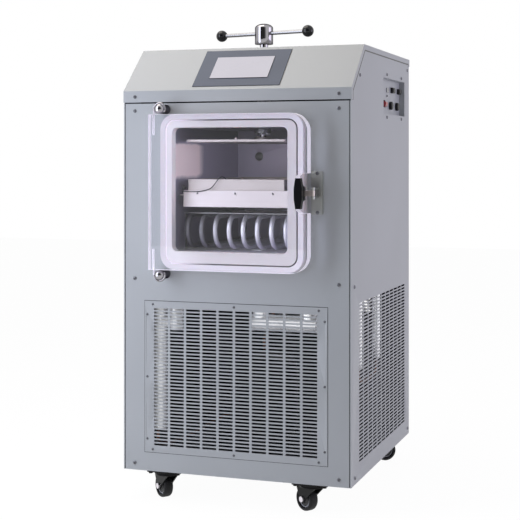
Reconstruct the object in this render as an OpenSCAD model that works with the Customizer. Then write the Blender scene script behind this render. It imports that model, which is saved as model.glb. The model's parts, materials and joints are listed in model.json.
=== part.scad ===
// Freeze dryer: a steel cabinet on casters with a square vacuum chamber, an acrylic door
// and a hand-turned stoppering press. Millimetres; +Z up, the front faces -Y, floor at z = 0.
// Most modules are written from the cabinet's bottom front edge, where at_cabinet() puts them.

/* [Cabinet] */
// Outer width over the console cover
cabinet_w = 600; // [580:5:660]
// Depth from the front panel's face to the rear panel's face
cabinet_d = 647; // [625:1:720]
// Height from the cabinet's bottom edge to its flat top
cabinet_h = 1074; // [1066:1:1160]
// Thickness of the cabinet's sheet steel
sheet_t = 1.5; // [1:0.1:2]
// Height of the console's upright band
band_h = 29; // [24:1:36]
// Depth of the sloping console face
slope_run = 124; // [110:1:150]
// Height of the sloping console face
slope_rise = 113; // [100:1:120]
// Open seam between the front panel and the console band
seam_gap = 3.5; // [2:0.5:6]
// Width of the console cover's side lips
lip_w = 13; // [8:1:18]
// Width of the side panels' return along the front
return_w = 2.5; // [2:0.5:6]
// Gap between the front panel and each side panel
side_gap = 2; // [0.5:0.5:3]
// Leg width of the corner posts
post_leg = 45; // [35:1:55]
// Wall of the corner posts and rails
post_t = 3; // [2:0.5:4]
// Height of the base pan's folded edge
pan_edge = 22; // [15:1:30]
// Thickness of the base pan
pan_t = 3; // [2:0.5:5]

/* [Ventilation slots] */
// Width of the front grille
grille_w = 480; // [460:5:500]
// Height of the front grille
grille_h = 382; // [375:1:395]
// Height of the front grille's lower edge above the cabinet's bottom edge
grille_sill = 48; // [40:1:60]
// Thickness of the front grille
grille_t = 1.2; // [1:0.1:2]
// Length of a front slot
front_slot_l = 37; // [30:0.5:38]
// Spacing of the front slot columns
front_pitch = 43.5; // [42:0.5:45]
// Length of a side slot
side_slot_l = 41; // [30:0.5:42]
// Spacing of the side slot columns
side_pitch = 47; // [45:0.5:48]
// Height of every slot
slot_h = 5; // [3:0.25:5.5]
// Spacing of the slot rows
row_pitch = 8.75; // [8:0.05:9]

/* [Casters] */
// Height from the floor to the cabinet's bottom edge
caster_h = 76; // [74:1:90]
// Diameter of the wheels
wheel_d = 60; // [52:1:61]
// Width of the wheels
wheel_w = 24; // [18:1:28]
// Distance from the swivel axis back to the wheel's axle
trail = 22; // [16:1:26]
// Length of a caster's top plate across the cabinet
plate_l = 92; // [84:1:96]
// Depth of a caster's top plate
plate_d = 68; // [62:1:76]
// Distance of the swivel axes from the cabinet's centre plane
caster_x = 192; // [180:1:210]
// Extra distance of the rear casters from the middle
rear_caster_out = 22; // [10:1:30]
// Distance of the swivel axes from the front and the rear face
caster_inset = 36; // [36:1:60]
// Diameter of the wheels' axles
axle_d = 8; // [6:0.5:10]

/* [Console] */
// Width of the blue-grey fascia
fascia_w = 231; // [220:1:240]
// Length of the fascia down the slope
fascia_l = 144; // [135:1:150]
// Width of the lit display area
screen_w = 154; // [140:1:165]
// Height of the lit display area
screen_l = 85; // [75:1:92]
// Depth of the operator panel behind the fascia
panel_depth = 34; // [25:1:45]

/* [Chamber] */
// Width of the chamber's mouth
mouth_w = 300; // [290:1:310]
// Height of the chamber's mouth
mouth_h = 306; // [300:1:310]
// Height of the mouth's sill above the cabinet's bottom edge
sill = 560; // [555:1:565]
// Depth of the chamber behind the front panel's face
chamber_d = 460; // [440:1:480]
// Wall of the stainless chamber
chamber_t = 3; // [2:0.5:5]
// Thickness of the foam around the chamber
foam_t = 25; // [15:1:30]
// How far the gasket reaches beyond the mouth on the left
gasket_left = 32; // [30:1:36]
// How far the gasket reaches beyond the mouth on the right
gasket_right = 40; // [36:1:40]
// How far the gasket reaches above the mouth
gasket_top = 34; // [30:1:34]
// How far the gasket reaches below the mouth
gasket_low = 46; // [40:1:46]
// How far the gasket's face stands in front of the cabinet
gasket_out = 27; // [22:1:32]

/* [Door] */
// Thickness of the acrylic door
slab_t = 29; // [24:1:34]
// How far the door reaches beyond the mouth on each side
slab_side = 56; // [54:1:60]
// How far the door reaches above the mouth
slab_top = 33; // [28:1:34]
// How far the door reaches below the mouth
slab_low = 46; // [40:1:50]
// Radius of the door's right corners
slab_r = 45; // [30:1:55]
// Height of the latch notch
notch_h = 96; // [90:1:104]
// Depth of the latch notch
notch_w = 28; // [27:0.5:32]
// Diameter of the hinge pins
pin_d = 6; // [5:0.5:7]
// Depth of the hinge pins in the door
pin_depth = 50; // [35:1:60]
// Distance of the hinge pins from the door's left edge
pin_inset = 10; // [8:0.5:12]
// Mean radius of the eye that holds each hinge pin on its post
eye_r = 14; // [13:0.5:16]

/* [Latch] */
// Length of the latch's wing
wing_l = 73; // [60:1:80]
// Width of the wing at its middle
wing_w = 20; // [16:1:23]
// Depth of the wing
wing_d = 15; // [12:1:18]
// Length of the knob's oval base
knob_l = 38; // [32:1:44]
// Width of the knob's oval base
knob_w = 22; // [20:1:25]
// Depth of the knob's oval base
knob_d = 12; // [10:1:14]
// Diameter of the latch stud
stud_d = 8; // [6:0.5:10]
// Height of the swing arm
arm_h = 14; // [12:1:24]
// Diameter of the swing arm's pivot pin
pivot_d = 6; // [5:0.5:8]
// Height of the latch bracket's base
bracket_h = 105; // [90:1:115]

/* [Shelf and tray] */
// Gap between the heated shelf and the chamber's side walls
shelf_side = 15; // [12:0.5:20]
// Depth of the heated shelf
shelf_d = 420; // [380:5:424]
// Height of the heated shelf's apron
shelf_h = 41; // [35:1:46]
// Height of the shelf's lower edge above the mouth's sill
shelf_up = 109; // [104:1:112]
// Distance from the shelf's side to the product tray's side
tray_side = 10.5; // [9:0.5:16]
// Depth of the product tray
tray_d = 405; // [380:5:410]
// Height of the product tray
tray_h = 28; // [20:1:34]
// Thickness of the tray and of the shelf's sheet
tray_t = 1.5; // [1:0.1:2]
// Tube diameter of the evaporator coil
coil_d = 12; // [10:0.5:14]
// Distance from the chamber's side wall to the end of the coil's first turn
coil_side = 13.25; // [12.5:0.25:18]
// Bend radius at the ends of the coil's turns
coil_r = 38; // [36:1:39]
// Length of the coil's straight runs
coil_run = 300; // [240:10:320]

/* [Press] */
// Gap between the press plate and the chamber's side walls
press_side = 20; // [12:1:27]
// Depth of the press plate
press_d = 424; // [400:1:436]
// Thickness of the press plate
press_t = 6; // [5:0.5:10]
// Distance from the raised press plate's underside to the chamber's roof
press_drop = 37; // [35:0.5:45]
// Diameter of the press spindle
spindle_d = 16; // [12:0.5:18]
// Diameter of the handle's hub
hub_d = 48; // [42:1:54]
// Height of the handle's hub
hub_h = 55; // [50:1:62]
// Height of the hub's lower face above the cabinet's top
hub_up = 17; // [15:1:24]
// Diameter of the handle's bar
bar_d = 10; // [8:0.5:14]
// Distance between the centres of the two ball knobs
ball_span = 267; // [240:1:280]
// Diameter of the ball knobs
ball_d = 31; // [26:1:36]
// Angle of the bar at rest
bar_turn = -13; // [-30:1:30]

/* [Connection recess] */
// Length of the recess along the side
recess_l = 255; // [250:1:265]
// Height of the recess
recess_h = 96; // [90:1:100]
// Depth of the recess
recess_depth = 15; // [12:0.5:20]
// Distance of the recess from the front face
recess_y = 333; // [325:1:340]
// Height of the recess's lower edge above the cabinet's bottom edge
recess_z = 909; // [900:1:915]

/* [Machinery] */
// Diameter of the compressor's can
can_d = 190; // [160:5:210]
// Height of the compressor's can
can_h = 230; // [200:5:260]
// Diameter of the condenser fan
fan_d = 230; // [200:5:240]
// Outer diameter of the vacuum port's flange
port_flange_d = 40; // [38:1:50]
// Bore of the vacuum port
port_bore = 24; // [20:0.5:26]
// How far the vacuum port stands out of the rear panel
port_reach = 40; // [30:1:60]

/* [Hidden] */

$fn = 48;
eps = 0.01;                     // overlap that lets a cut pass right through a face
soft_gap = 0.3;                 // clearance between soft or curved neighbours
run_gap = 0.05;                 // radial running clearance of a pin in its hole
fit_gap = 0.5;                  // clearance round a panel or an inserted part

// Cabinet levels and planes, from the bottom front edge
seam_z = cabinet_h - slope_rise - band_h;
bend_z = cabinet_h - slope_rise;
panel_x = cabinet_w / 2 - sheet_t;
rear_y = cabinet_d - sheet_t;
post_x = panel_x - sheet_t;
post_back = rear_y;
front_screw_x = cabinet_w / 2 - 32;
front_screw_z = [18, 486, seam_z - seam_gap - 18];
band_screw_z = seam_z + 14;
screw_d = 4;
head_d = 9;
head_h = 2.6;
small_screw_d = 3;
small_head_d = 6;
small_head_h = 1.8;

// Console outline in the YZ plane, from the band's foot over the slope to the rear lip
cover_back = cabinet_d + sheet_t;
rear_lip = 20;
cover_line = [[0, seam_z], [0, bend_z], [slope_run, cabinet_h], [cover_back, cabinet_h],
    [cover_back, cabinet_h - rear_lip]];
slope_angle = atan2(slope_rise, slope_run);
slope_l = norm([slope_run, slope_rise]);

// Door, gasket and hinge
gasket_x0 = -mouth_w / 2 - gasket_left;
gasket_x1 = mouth_w / 2 + gasket_right;
gasket_z0 = sill - gasket_low;
gasket_z1 = sill + mouth_h + gasket_top;
slab_x = mouth_w / 2 + slab_side;
slab_z0 = sill - slab_low;
slab_z1 = sill + mouth_h + slab_top;
slab_back = -gasket_out - soft_gap;
slab_front = slab_back - slab_t;
slab_mid = slab_back - slab_t / 2;
pin_x = -slab_x + pin_inset;
post_rise = eye_r;

// Latch, centred on the door's height
latch_z = (slab_z0 + slab_z1) / 2;
stud_x = slab_x - 15;
pivot_x = slab_x + 8.5;
pivot_y = slab_front + 17;
ear_t = 5;
arm_t = 9;
knuckle_r = 5.5;
arm_gap = 0.3;
knob_back = slab_front - 1.5;
wing_back = knob_back - knob_d;
door_reach = -wing_back + wing_d;

// The box over cabinet, latch knob and vacuum port is centred on the origin
front_y = door_reach - (door_reach + cabinet_d + port_reach) / 2;

// Chamber inside
wall_gap = 2;
inner_w = mouth_w + 2 * wall_gap;
inner_h = mouth_h + 2 * wall_gap;
floor_z = sill - wall_gap;
roof_z = sill + mouth_h + wall_gap;
press_y = chamber_d / 2;
shelf_z = sill + shelf_up;
shelf_top = shelf_z + shelf_h;
shelf_front = 16;
shelf_w = inner_w - 2 * shelf_side;
tray_w = shelf_w - 2 * tray_side;
press_w = inner_w - 2 * press_side;
tray_front = 22;
press_z = roof_z - press_drop;

function at(p) = [p[0], p[1] + front_y, p[2] + caster_h];

module at_cabinet() translate([0, front_y, caster_h]) children();

// Rounded rectangle from two corners, all four corners of radius r
module round_rect(x0, y0, x1, y1, r) {
    translate([x0 + r, y0]) square([x1 - x0 - 2 * r, y1 - y0]);
    translate([x0, y0 + r]) square([x1 - x0, y1 - y0 - 2 * r]);
    for (x = [x0 + r, x1 - r])
        for (y = [y0 + r, y1 - r])
            translate([x, y]) circle(r);
}

// A 2D outline drawn in X and Z, given a thickness that runs from y0 to y1
module upright(y0, y1) translate([0, y1, 0]) rotate([90, 0, 0]) linear_extrude(y1 - y0) children();

// A 2D outline drawn in Y and Z, given a thickness that runs from x0 to x1
module sideways(x0, x1)
    translate([x0, 0, 0]) rotate([90, 0, 90]) linear_extrude(x1 - x0) children();

// A box between two corners
module box(a, b) translate(a) cube(b - a);

// A cylinder along X, Y or Z, from its first to its second end
module rod_y(x, z, y0, y1, d) translate([x, y1, z]) rotate([90, 0, 0]) cylinder(h = y1 - y0, d = d);
module rod_x(y, z, x0, x1, d) translate([x0, y, z]) rotate([0, 90, 0]) cylinder(h = x1 - x0, d = d);
module rod_z(x, y, z0, z1, d) translate([x, y, z0]) cylinder(h = z1 - z0, d = d);

// A pan-head screw that stands on the plane z = 0 with its shank below it
module screw(d, hd, hh, l) {
    rotate_extrude() polygon([[0, -l], [d / 2, -l], [d / 2, 0], [hd / 2, 0], [hd / 2, hh * 0.45],
        [hd * 0.36, hh * 0.85], [hd * 0.2, hh], [0, hh]]);
}
module screw_front(x, z, y = 0) translate([x, y, z]) rotate([90, 0, 0])
    screw(screw_d, head_d, head_h, sheet_t + post_t);
module screw_side(s, y, z) translate([s * panel_x, y, z]) rotate([0, s * 90, 0])
    screw(screw_d, head_d, head_h, sheet_t + post_t);

// Sets of slots, centred on the plane's own axis
module slots(columns, rows, pitch, length, z_low) {
    for (c = [0 : columns - 1])
        for (r = [0 : rows - 1])
            translate([(c - (columns - 1) / 2) * pitch - length / 2, z_low + r * row_pitch])
                square([length, slot_h]);
}

// Offset of an open line by d to its right-hand side, with mitred corners
function unit(v) = v / norm(v);
function side_of(a, b) = [unit(b - a)[1], -unit(b - a)[0]];
function mitre(n, m) = (n + m) / (1 + n * m);
function inset(l, d) = [for (i = [0 : len(l) - 1])
    l[i] + d * (i == 0 ? side_of(l[0], l[1])
        : i == len(l) - 1 ? side_of(l[i - 1], l[i])
        : mitre(side_of(l[i - 1], l[i]), side_of(l[i], l[i + 1])))];
function flip(l) = [for (i = [len(l) - 1 : -1 : 0]) l[i]];
module strip(l, d) polygon(concat(l, flip(inset(l, d))));

// Smooth route through hand-set points, and a round tube swept along it
function spline(p, i, t) = let (n = len(p) - 1, a = p[max(i - 1, 0)], b = p[i],
    c = p[i + 1], d = p[min(i + 2, n)])
    0.5 * (2 * b + (c - a) * t + (2 * a - 5 * b + 4 * c - d) * t * t
        + (3 * b - a - 3 * c + d) * t * t * t);
function route(p, steps) = [for (i = [0 : len(p) - 2]) for (s = [0 : steps - 1])
    spline(p, i, s / steps), p[len(p) - 1]];
function heading(p, i) = unit(p[min(i + 1, len(p) - 1)] - p[max(i - 1, 0)]);
function frame_up(p, i, last) = let (h = heading(p, i)) unit(last - h * (h * last));
function frames(p, i = 0, up = [0.31, 0.17, 0.93]) = let (u = frame_up(p, i, up))
    i == len(p) - 1 ? [u] : concat([u], frames(p, i + 1, u));
module tube(p, d, sides = 8) {
    up = frames(p);
    rings = [for (i = [0 : len(p) - 1]) for (k = [0 : sides - 1])
        let (a = 360 * k / sides, u = up[i], v = cross(heading(p, i), u))
        p[i] + d / 2 * (cos(a) * u + sin(a) * v)];
    walls = [for (i = [0 : len(p) - 2]) for (k = [0 : sides - 1])
        let (n = (k + 1) % sides, a = i * sides)
        [a + k, a + sides + k, a + sides + n, a + n]];
    first = [for (k = [0 : sides - 1]) k];
    last = [for (k = [sides - 1 : -1 : 0]) (len(p) - 1) * sides + k];
    polyhedron(rings, concat(walls, [first, last]));
}

// ---------------------------------------------------------------- frame

module base_pan() color("silver") at_cabinet() {
    x = post_x - post_t;
    y0 = sheet_t + post_t;
    y1 = rear_y - post_t;
    difference() {
        box([-x, y0, 0], [x, y1, pan_edge]);
        box([-x + pan_t, y0 + pan_t, pan_t], [x - pan_t, y1 - pan_t, pan_edge + 1]);
    }
}

// Angle posts; the front pair ends under the slope, the rear pair under the flat top
module corner_posts() color("silver") at_cabinet() {
    for (s = [-1, 1]) {
        difference() {
            post(s, sheet_t, 1, bend_z - 3);
            for (z = concat(front_screw_z, [band_screw_z]))
                rod_y(s * front_screw_x, z, -1, 20, screw_d + 2 * run_gap);
            for (p = side_screws)
                rod_x(p[0], p[1], s * panel_x - 20, s * panel_x + 20, screw_d + 2 * run_gap);
        }
        difference() {
            post(s, post_back, -1, cabinet_h - sheet_t - 2);
            for (p = side_screws)
                rod_x(p[0], p[1], s * panel_x - 20, s * panel_x + 20, screw_d + 2 * run_gap);
            for (z = rear_screw_z)
                rod_y(s * rear_screw_x, z, rear_y - 20, rear_y + 20, screw_d + 2 * run_gap);
        }
    }
}
module post(s, y, toward, top) {
    x0 = s > 0 ? post_x - post_leg : -post_x;
    box([x0, min(y, y + toward * post_t), 0], [x0 + post_leg, max(y, y + toward * post_t), top]);
    xs = s > 0 ? post_x - post_t : -post_x;
    box([xs, min(y, y + toward * post_leg), 0], [xs + post_t, max(y, y + toward * post_leg), top]);
}

// Side screws as [depth, height]: two on the front post, two on the rear post, one on the panel
side_screws = [[30, 479], [36, 16], [cabinet_d - 18, 17], [84, bend_z + 34],
    [cabinet_d - 23, cabinet_h - 32]];
rear_screw_x = cabinet_w / 2 - 24;
rear_screw_z = [20, cabinet_h / 2, cabinet_h - 60];

// Two rails between the posts and two cross rails that carry the chamber
rail_h = 30;
front_rail_y = 150;
rear_rail_in = 70;
rail_top = floor_z - chamber_t - foam_t;
module chamber_rails() color("silver") at_cabinet() {
    x = post_x - post_t;
    for (s = [-1, 1])
        box([s > 0 ? x - rail_h : -x, sheet_t + post_t, rail_top - rail_h],
            [s > 0 ? x : -x + rail_h, rear_y - post_t, rail_top]);
    for (y = [front_rail_y, chamber_d - rear_rail_in])
        box([-x + rail_h + soft_gap, y - rail_h / 2, rail_top - rail_h],
            [x - rail_h - soft_gap, y + rail_h / 2, rail_top]);
}

// ---------------------------------------------------------------- panels

module front_panel() color("gainsboro") at_cabinet() {
    x = panel_x - return_w - side_gap;
    difference() {
        upright(0, sheet_t) difference() {
            translate([-x, 0]) square([2 * x, seam_z - seam_gap]);
            mouth_hole(chamber_t + fit_gap);
            translate([-grille_w / 2 + 16, grille_sill + 14]) square([grille_w - 32, grille_h - 28]);
            for (s = [-1, 1])
                for (z = front_screw_z)
                    translate([s * front_screw_x, z]) circle(d = screw_d + 2 * run_gap);
            for (p = grille_screw_points())
                translate(p) circle(d = small_screw_d + 2 * run_gap);
            for (z = [post_low_z, post_high_z])
                translate([pin_x + eye_r, z]) circle(d = post_tail_d + 2 * run_gap);
            for (s = [-1, 1])
                translate([bracket_x, latch_z + s * bracket_screw]) circle(d = screw_d + 2 * run_gap);
        }
    }
}
module mouth_hole(extra) translate([-inner_w / 2 - extra, floor_z - extra])
    square([inner_w + 2 * extra, inner_h + 2 * extra]);

// Twelve small screws round the grille, three near each edge
function grille_screw_points() = let (x = grille_w / 2 - 7, z0 = grille_sill + 8,
    z1 = grille_sill + grille_h - 8, zm = grille_sill + grille_h / 2)
    concat([for (i = [-1 : 1]) for (z = [z0, z1]) [i * (x - 15), z]],
        [for (s = [-1, 1]) for (i = [-1 : 1]) [s * x, zm + i * (grille_h / 2 - 34)]]);

front_columns = 10;
front_rows = 40;
side_columns = 11;
side_rows = 45;

module front_grille() color("gainsboro") at_cabinet() {
    upright(-grille_t, 0) difference() {
        translate([-grille_w / 2, grille_sill]) square([grille_w, grille_h]);
        slots(front_columns, front_rows, front_pitch, front_slot_l,
            grille_sill + (grille_h - (front_rows - 1) * row_pitch - slot_h) / 2);
        for (p = grille_screw_points())
            translate(p) circle(d = small_screw_d + 2 * run_gap);
    }
}

// One folded sheet: band, slope, flat top and rear lip, with a lip down each side
module console_cover() color("gainsboro") at_cabinet() difference() {
    union() {
        sideways(-cabinet_w / 2, cabinet_w / 2) strip(cover_line, sheet_t);
        for (s = [-1, 1])
            sideways(s > 0 ? panel_x : -cabinet_w / 2, s > 0 ? cabinet_w / 2 : -panel_x)
                strip(cover_line, lip_w);
    }
    on_slope() translate([0, slope_l / 2, 0])
        cube([screen_w - 4, screen_l - 4, 20], center = true);
    translate([0, press_y, cabinet_h - 10]) cylinder(h = 20, d = gland_d + 2 * fit_gap);
    for (s = [-1, 1])
        rod_y(s * front_screw_x, band_screw_z, -1, 5, screw_d + 2 * run_gap);
}
module on_slope() translate([0, 0, bend_z]) rotate([slope_angle, 0, 0]) children();

// A side panel reaches up inside the console cover and returns along the front; the left is plain
module side_outline() {
    under = inset(cover_line, sheet_t + fit_gap);
    polygon([[0, 0], [0, seam_z - seam_gap], [sheet_t + fit_gap, seam_z - seam_gap],
        under[1], under[2], [rear_y, under[2][1]], [rear_y, 0]]);
}
module side_panel(s) {
    x0 = s > 0 ? panel_x - sheet_t : -panel_x;
    sideways(x0, x0 + sheet_t) difference() {
        side_outline();
        for (p = side_screws)
            translate(p) circle(d = screw_d + 2 * run_gap);
        if (s > 0) {
            translate([side_slot_mid, 0])
                slots(side_columns, side_rows, side_pitch, side_slot_l, side_slot_z);
            recess_cut();
        }
    }
    box([s > 0 ? panel_x - return_w : -panel_x, 0, 0],
        [s > 0 ? panel_x : -panel_x + return_w, sheet_t, seam_z - seam_gap]);
}
side_slot_mid = cabinet_d / 2 + 10;
side_slot_z = 45;
module recess_cut() {
    translate([recess_y, recess_z]) square([recess_l, recess_h]);
    for (p = recess_screws)
        translate(p) circle(d = screw_d + 2 * run_gap);
}
module left_panel() color("gainsboro") at_cabinet() side_panel(-1);
module right_panel() color("gainsboro") at_cabinet() side_panel(1);

port_x = -90;
port_z = sill + mouth_h - 70;
port_d = port_bore + 6;
rear_rows = 24;
rear_columns = 8;
rear_slot_z = 345;
module rear_panel() color("gainsboro") at_cabinet() {
    upright(rear_y, cabinet_d) difference() {
        translate([-panel_x, 0]) square([2 * panel_x, cabinet_h - sheet_t - fit_gap]);
        slots(rear_columns, rear_rows, side_pitch, side_slot_l, rear_slot_z);
        translate([port_x, port_z]) circle(d = port_d + 2 * fit_gap);
        for (s = [-1, 1])
            for (z = rear_screw_z)
                translate([s * rear_screw_x, z]) circle(d = screw_d + 2 * run_gap);
    }
}

// Pan-head screws of the panels, the recess and the latch bracket
module cabinet_screws() color("dimgray") at_cabinet() {
    for (s = [-1, 1]) {
        for (z = concat(front_screw_z, [band_screw_z]))
            screw_front(s * front_screw_x, z);
        for (p = side_screws)
            screw_side(s, p[0], p[1]);
        for (z = rear_screw_z)
            translate([s * rear_screw_x, cabinet_d, z]) rotate([-90, 0, 0])
                screw(screw_d, head_d, head_h, sheet_t + post_t);
        screw_front(bracket_x, latch_z + s * bracket_screw, -bracket_t);
    }
    for (p = recess_screws)
        screw_side(1, p[0], p[1]);
}
module small_screws() color("dimgray") at_cabinet() {
    for (p = grille_screw_points())
        translate([p[0], -grille_t, p[1]]) rotate([90, 0, 0])
            screw(small_screw_d, small_head_d, small_head_h, grille_t + sheet_t);
    for (i = [-1 : 1])
        translate([i * shelf_screw_pitch, shelf_front, shelf_top - 8]) rotate([90, 0, 0])
            screw(small_screw_d, small_head_d, small_head_h, tray_t);
    translate([recess_back, recess_y + 102, recess_z + 51]) rotate([0, 90, 0])
        screw(small_screw_d, small_head_d, small_head_h, sheet_t);
}

// ---------------------------------------------------------------- console

fascia_t = 1.5;
module control_fascia() color("slategray") at_cabinet() on_slope()
    linear_extrude(fascia_t) difference() {
        translate([-fascia_w / 2, (slope_l - fascia_l) / 2]) square([fascia_w, fascia_l]);
        translate([-screen_w / 2 + 2, (slope_l - screen_l) / 2 + 2])
            square([screen_w - 4, screen_l - 4]);
    }
// The operator panel: its lit face stands on the fascia, its body reaches inside
module touch_screen() color("lavender") at_cabinet() on_slope() translate([0, slope_l / 2, 0]) {
    translate([-screen_w / 2, -screen_l / 2, fascia_t]) cube([screen_w, screen_l, 1.5]);
    translate([-screen_w / 2 + 3, -screen_l / 2 + 3, -panel_depth])
        cube([screen_w - 6, screen_l - 6, panel_depth + fascia_t]);
}

// ---------------------------------------------------------------- connection recess

recess_back = panel_x - recess_depth;
recess_screws = [for (y = [recess_y + 39, recess_y + 212])
    for (z = [recess_z - 9, recess_z + recess_h + 9]) [y, z]];
socket_points = [[recess_y + 136, recess_z + 26], [recess_y + 211, recess_z + 26]];
data_points = [[recess_y + 158, recess_z + 69], [recess_y + 236, recess_z + 69]];
plug_point = [recess_y + 106, recess_z + 67];
rocker_point = [recess_y + 75, recess_z + 29];
flange_w = 18;
flange_side = 10;
module recess_box() color("gainsboro") at_cabinet() {
    y1 = recess_y + recess_l;
    z1 = recess_z + recess_h;
    difference() {
        union() {
            box([recess_back - sheet_t, recess_y - sheet_t, recess_z - sheet_t],
                [panel_x - sheet_t, y1 + sheet_t, z1 + sheet_t]);
            box([panel_x - 2 * sheet_t, recess_y - flange_side, recess_z - flange_w],
                [panel_x - sheet_t, y1 + flange_side, z1 + flange_w]);
        }
        box([recess_back, recess_y, recess_z], [panel_x, y1, z1]);
        for (p = recess_screws)
            rod_x(p[0], p[1], panel_x - 10, panel_x, screw_d + 2 * run_gap);
        for (p = socket_points)
            rod_x(p[0], p[1], recess_back - 5, recess_back + 5, socket_neck_d + 2 * run_gap);
        rocker_hole();
        rod_x(recess_y + 102, recess_z + 51, recess_back - 5, recess_back + 5,
            small_screw_d + 2 * run_gap);
    }
}
rocker_l = 22;
rocker_r = 9;
rocker_tilt = 12;
module rocker_hole() translate([recess_back - 5, rocker_point[0] - rocker_l / 2 - fit_gap,
    rocker_point[1] - rocker_r - fit_gap]) cube([10, rocker_l + 2 * fit_gap, 2 * rocker_r + 2 * fit_gap]);
// A rocker drum that tilts about a pin along Y, drawn in its off position
module power_rocker() color("firebrick") at_cabinet()
    translate([recess_back - 2, rocker_point[0] - rocker_l / 2, rocker_point[1]])
        rotate([0, rocker_tilt, 0]) rotate([-90, 0, 0]) linear_extrude(rocker_l) intersection() {
            circle(rocker_r);
            translate([-2, -rocker_r + 2]) square([rocker_r + 2, 2 * rocker_r - 4]);
        }
module relay_plug() color("silver") at_cabinet()
    box([recess_back, plug_point[0] - 11, plug_point[1] - 6],
        [recess_back + 2.5, plug_point[0] + 11, plug_point[1] + 6]);
// Capped sockets: each is closed by its dust cover
data_w = 26;
data_h = 15;
data_out = 9;
module data_sockets() color("black") at_cabinet()
    for (p = data_points) {
        box([recess_back, p[0] - data_w / 2, p[1] - data_h / 2],
            [recess_back + data_out - 2, p[0] + data_w / 2, p[1] + data_h / 2]);
        box([recess_back, p[0] - data_w / 2 + 2, p[1] - data_h / 2 + 2],
            [recess_back + data_out, p[0] + data_w / 2 - 2, p[1] + data_h / 2 - 2]);
    }
socket_d = 22.5;
socket_neck_d = 16;
socket_out = 9;
module round_sockets() color("black") at_cabinet()
    for (p = socket_points) {
        rod_x(p[0], p[1], recess_back - 14, recess_back, socket_neck_d);
        rod_x(p[0], p[1], recess_back, recess_back + socket_out - 1.5, socket_d);
        rod_x(p[0], p[1], recess_back, recess_back + socket_out, socket_d - 5);
    }

// ---------------------------------------------------------------- chamber

flange_in = 8;
module chamber_shell() color("lightsteelblue") at_cabinet() difference() {
    union() {
        box([-inner_w / 2 - chamber_t, -chamber_t, floor_z - chamber_t],
            [inner_w / 2 + chamber_t, chamber_d + chamber_t, roof_z + chamber_t]);
        upright(-chamber_t, 0) flange_outline();
    }
    box([-inner_w / 2, -chamber_t - 1, floor_z], [inner_w / 2, chamber_d, roof_z]);
    translate([0, press_y, roof_z - 1]) cylinder(h = chamber_t + 2, d = gland_d + 2 * run_gap);
    rod_y(port_x, port_z, chamber_d - 1, chamber_d + chamber_t + 1, port_bore);
}
module flange_outline(gap = 0) round_rect(gasket_x0 + flange_in - gap, gasket_z0 + flange_in - gap,
    gasket_x1 - flange_in + gap, gasket_z1 - flange_in + gap, 30 + gap);
module chamber_foam() color("dimgray") at_cabinet() difference() {
    s = chamber_t + foam_t;
    box([-inner_w / 2 - s, sheet_t + 2, floor_z - s], [inner_w / 2 + s, chamber_d + s, roof_z + s]);
    box([-inner_w / 2 - chamber_t, 0, floor_z - chamber_t],
        [inner_w / 2 + chamber_t, chamber_d + chamber_t, roof_z + chamber_t]);
    translate([0, press_y, roof_z]) cylinder(h = 100, d = gland_flange_d + 2 * fit_gap);
    rod_y(port_x, port_z, chamber_d, chamber_d + 100, port_d + 2 * fit_gap);
}
// One moulded silicone ring: it wraps the flange's edge and has a groove in its face
groove_in = 14;
module door_gasket() color("white") at_cabinet() difference() {
    upright(-gasket_out, 0) round_rect(gasket_x0, gasket_z0, gasket_x1, gasket_z1, 38);
    upright(-gasket_out - 1, 1)
        round_rect(-mouth_w / 2, sill, mouth_w / 2, sill + mouth_h, 14);
    upright(-chamber_t, 1) flange_outline(soft_gap);
    upright(-gasket_out - 1, -gasket_out + 9) difference() {
        round_rect(gasket_x0 + groove_in, gasket_z0 + groove_in,
            gasket_x1 - groove_in, gasket_z1 - groove_in, 25);
        round_rect(gasket_x0 + groove_in + 3, gasket_z0 + groove_in + 3,
            gasket_x1 - groove_in - 3, gasket_z1 - groove_in - 3, 22);
    }
}

// Ledges that tie the shelf's apron to the chamber's side walls
module shelf_cleats() color("silver") at_cabinet()
    for (s = [-1, 1])
        box([s > 0 ? shelf_w / 2 : -inner_w / 2, shelf_front + 12, shelf_top - 14],
            [s > 0 ? inner_w / 2 : -shelf_w / 2, shelf_front + shelf_d - 20, shelf_top - 10]);
shelf_screw_pitch = 98;
module heated_shelf() color("silver") at_cabinet() difference() {
    box([-shelf_w / 2, shelf_front, shelf_z], [shelf_w / 2, shelf_front + shelf_d, shelf_top]);
    box([-shelf_w / 2 + tray_t, shelf_front + tray_t, shelf_z - 1],
        [shelf_w / 2 - tray_t, shelf_front + shelf_d - tray_t, shelf_top - tray_t]);
    for (i = [-1 : 1])
        rod_y(i * shelf_screw_pitch, shelf_top - 8, shelf_front - 1, shelf_front + 4,
            small_screw_d + 2 * run_gap);
}
module product_tray() color("silver") at_cabinet() difference() {
    box([-tray_w / 2, tray_front, shelf_top], [tray_w / 2, tray_front + tray_d, shelf_top + tray_h]);
    box([-tray_w / 2 + tray_t, tray_front + tray_t, shelf_top + tray_t],
        [tray_w / 2 - tray_t, tray_front + tray_d - tray_t, shelf_top + tray_h + 1]);
}

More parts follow.
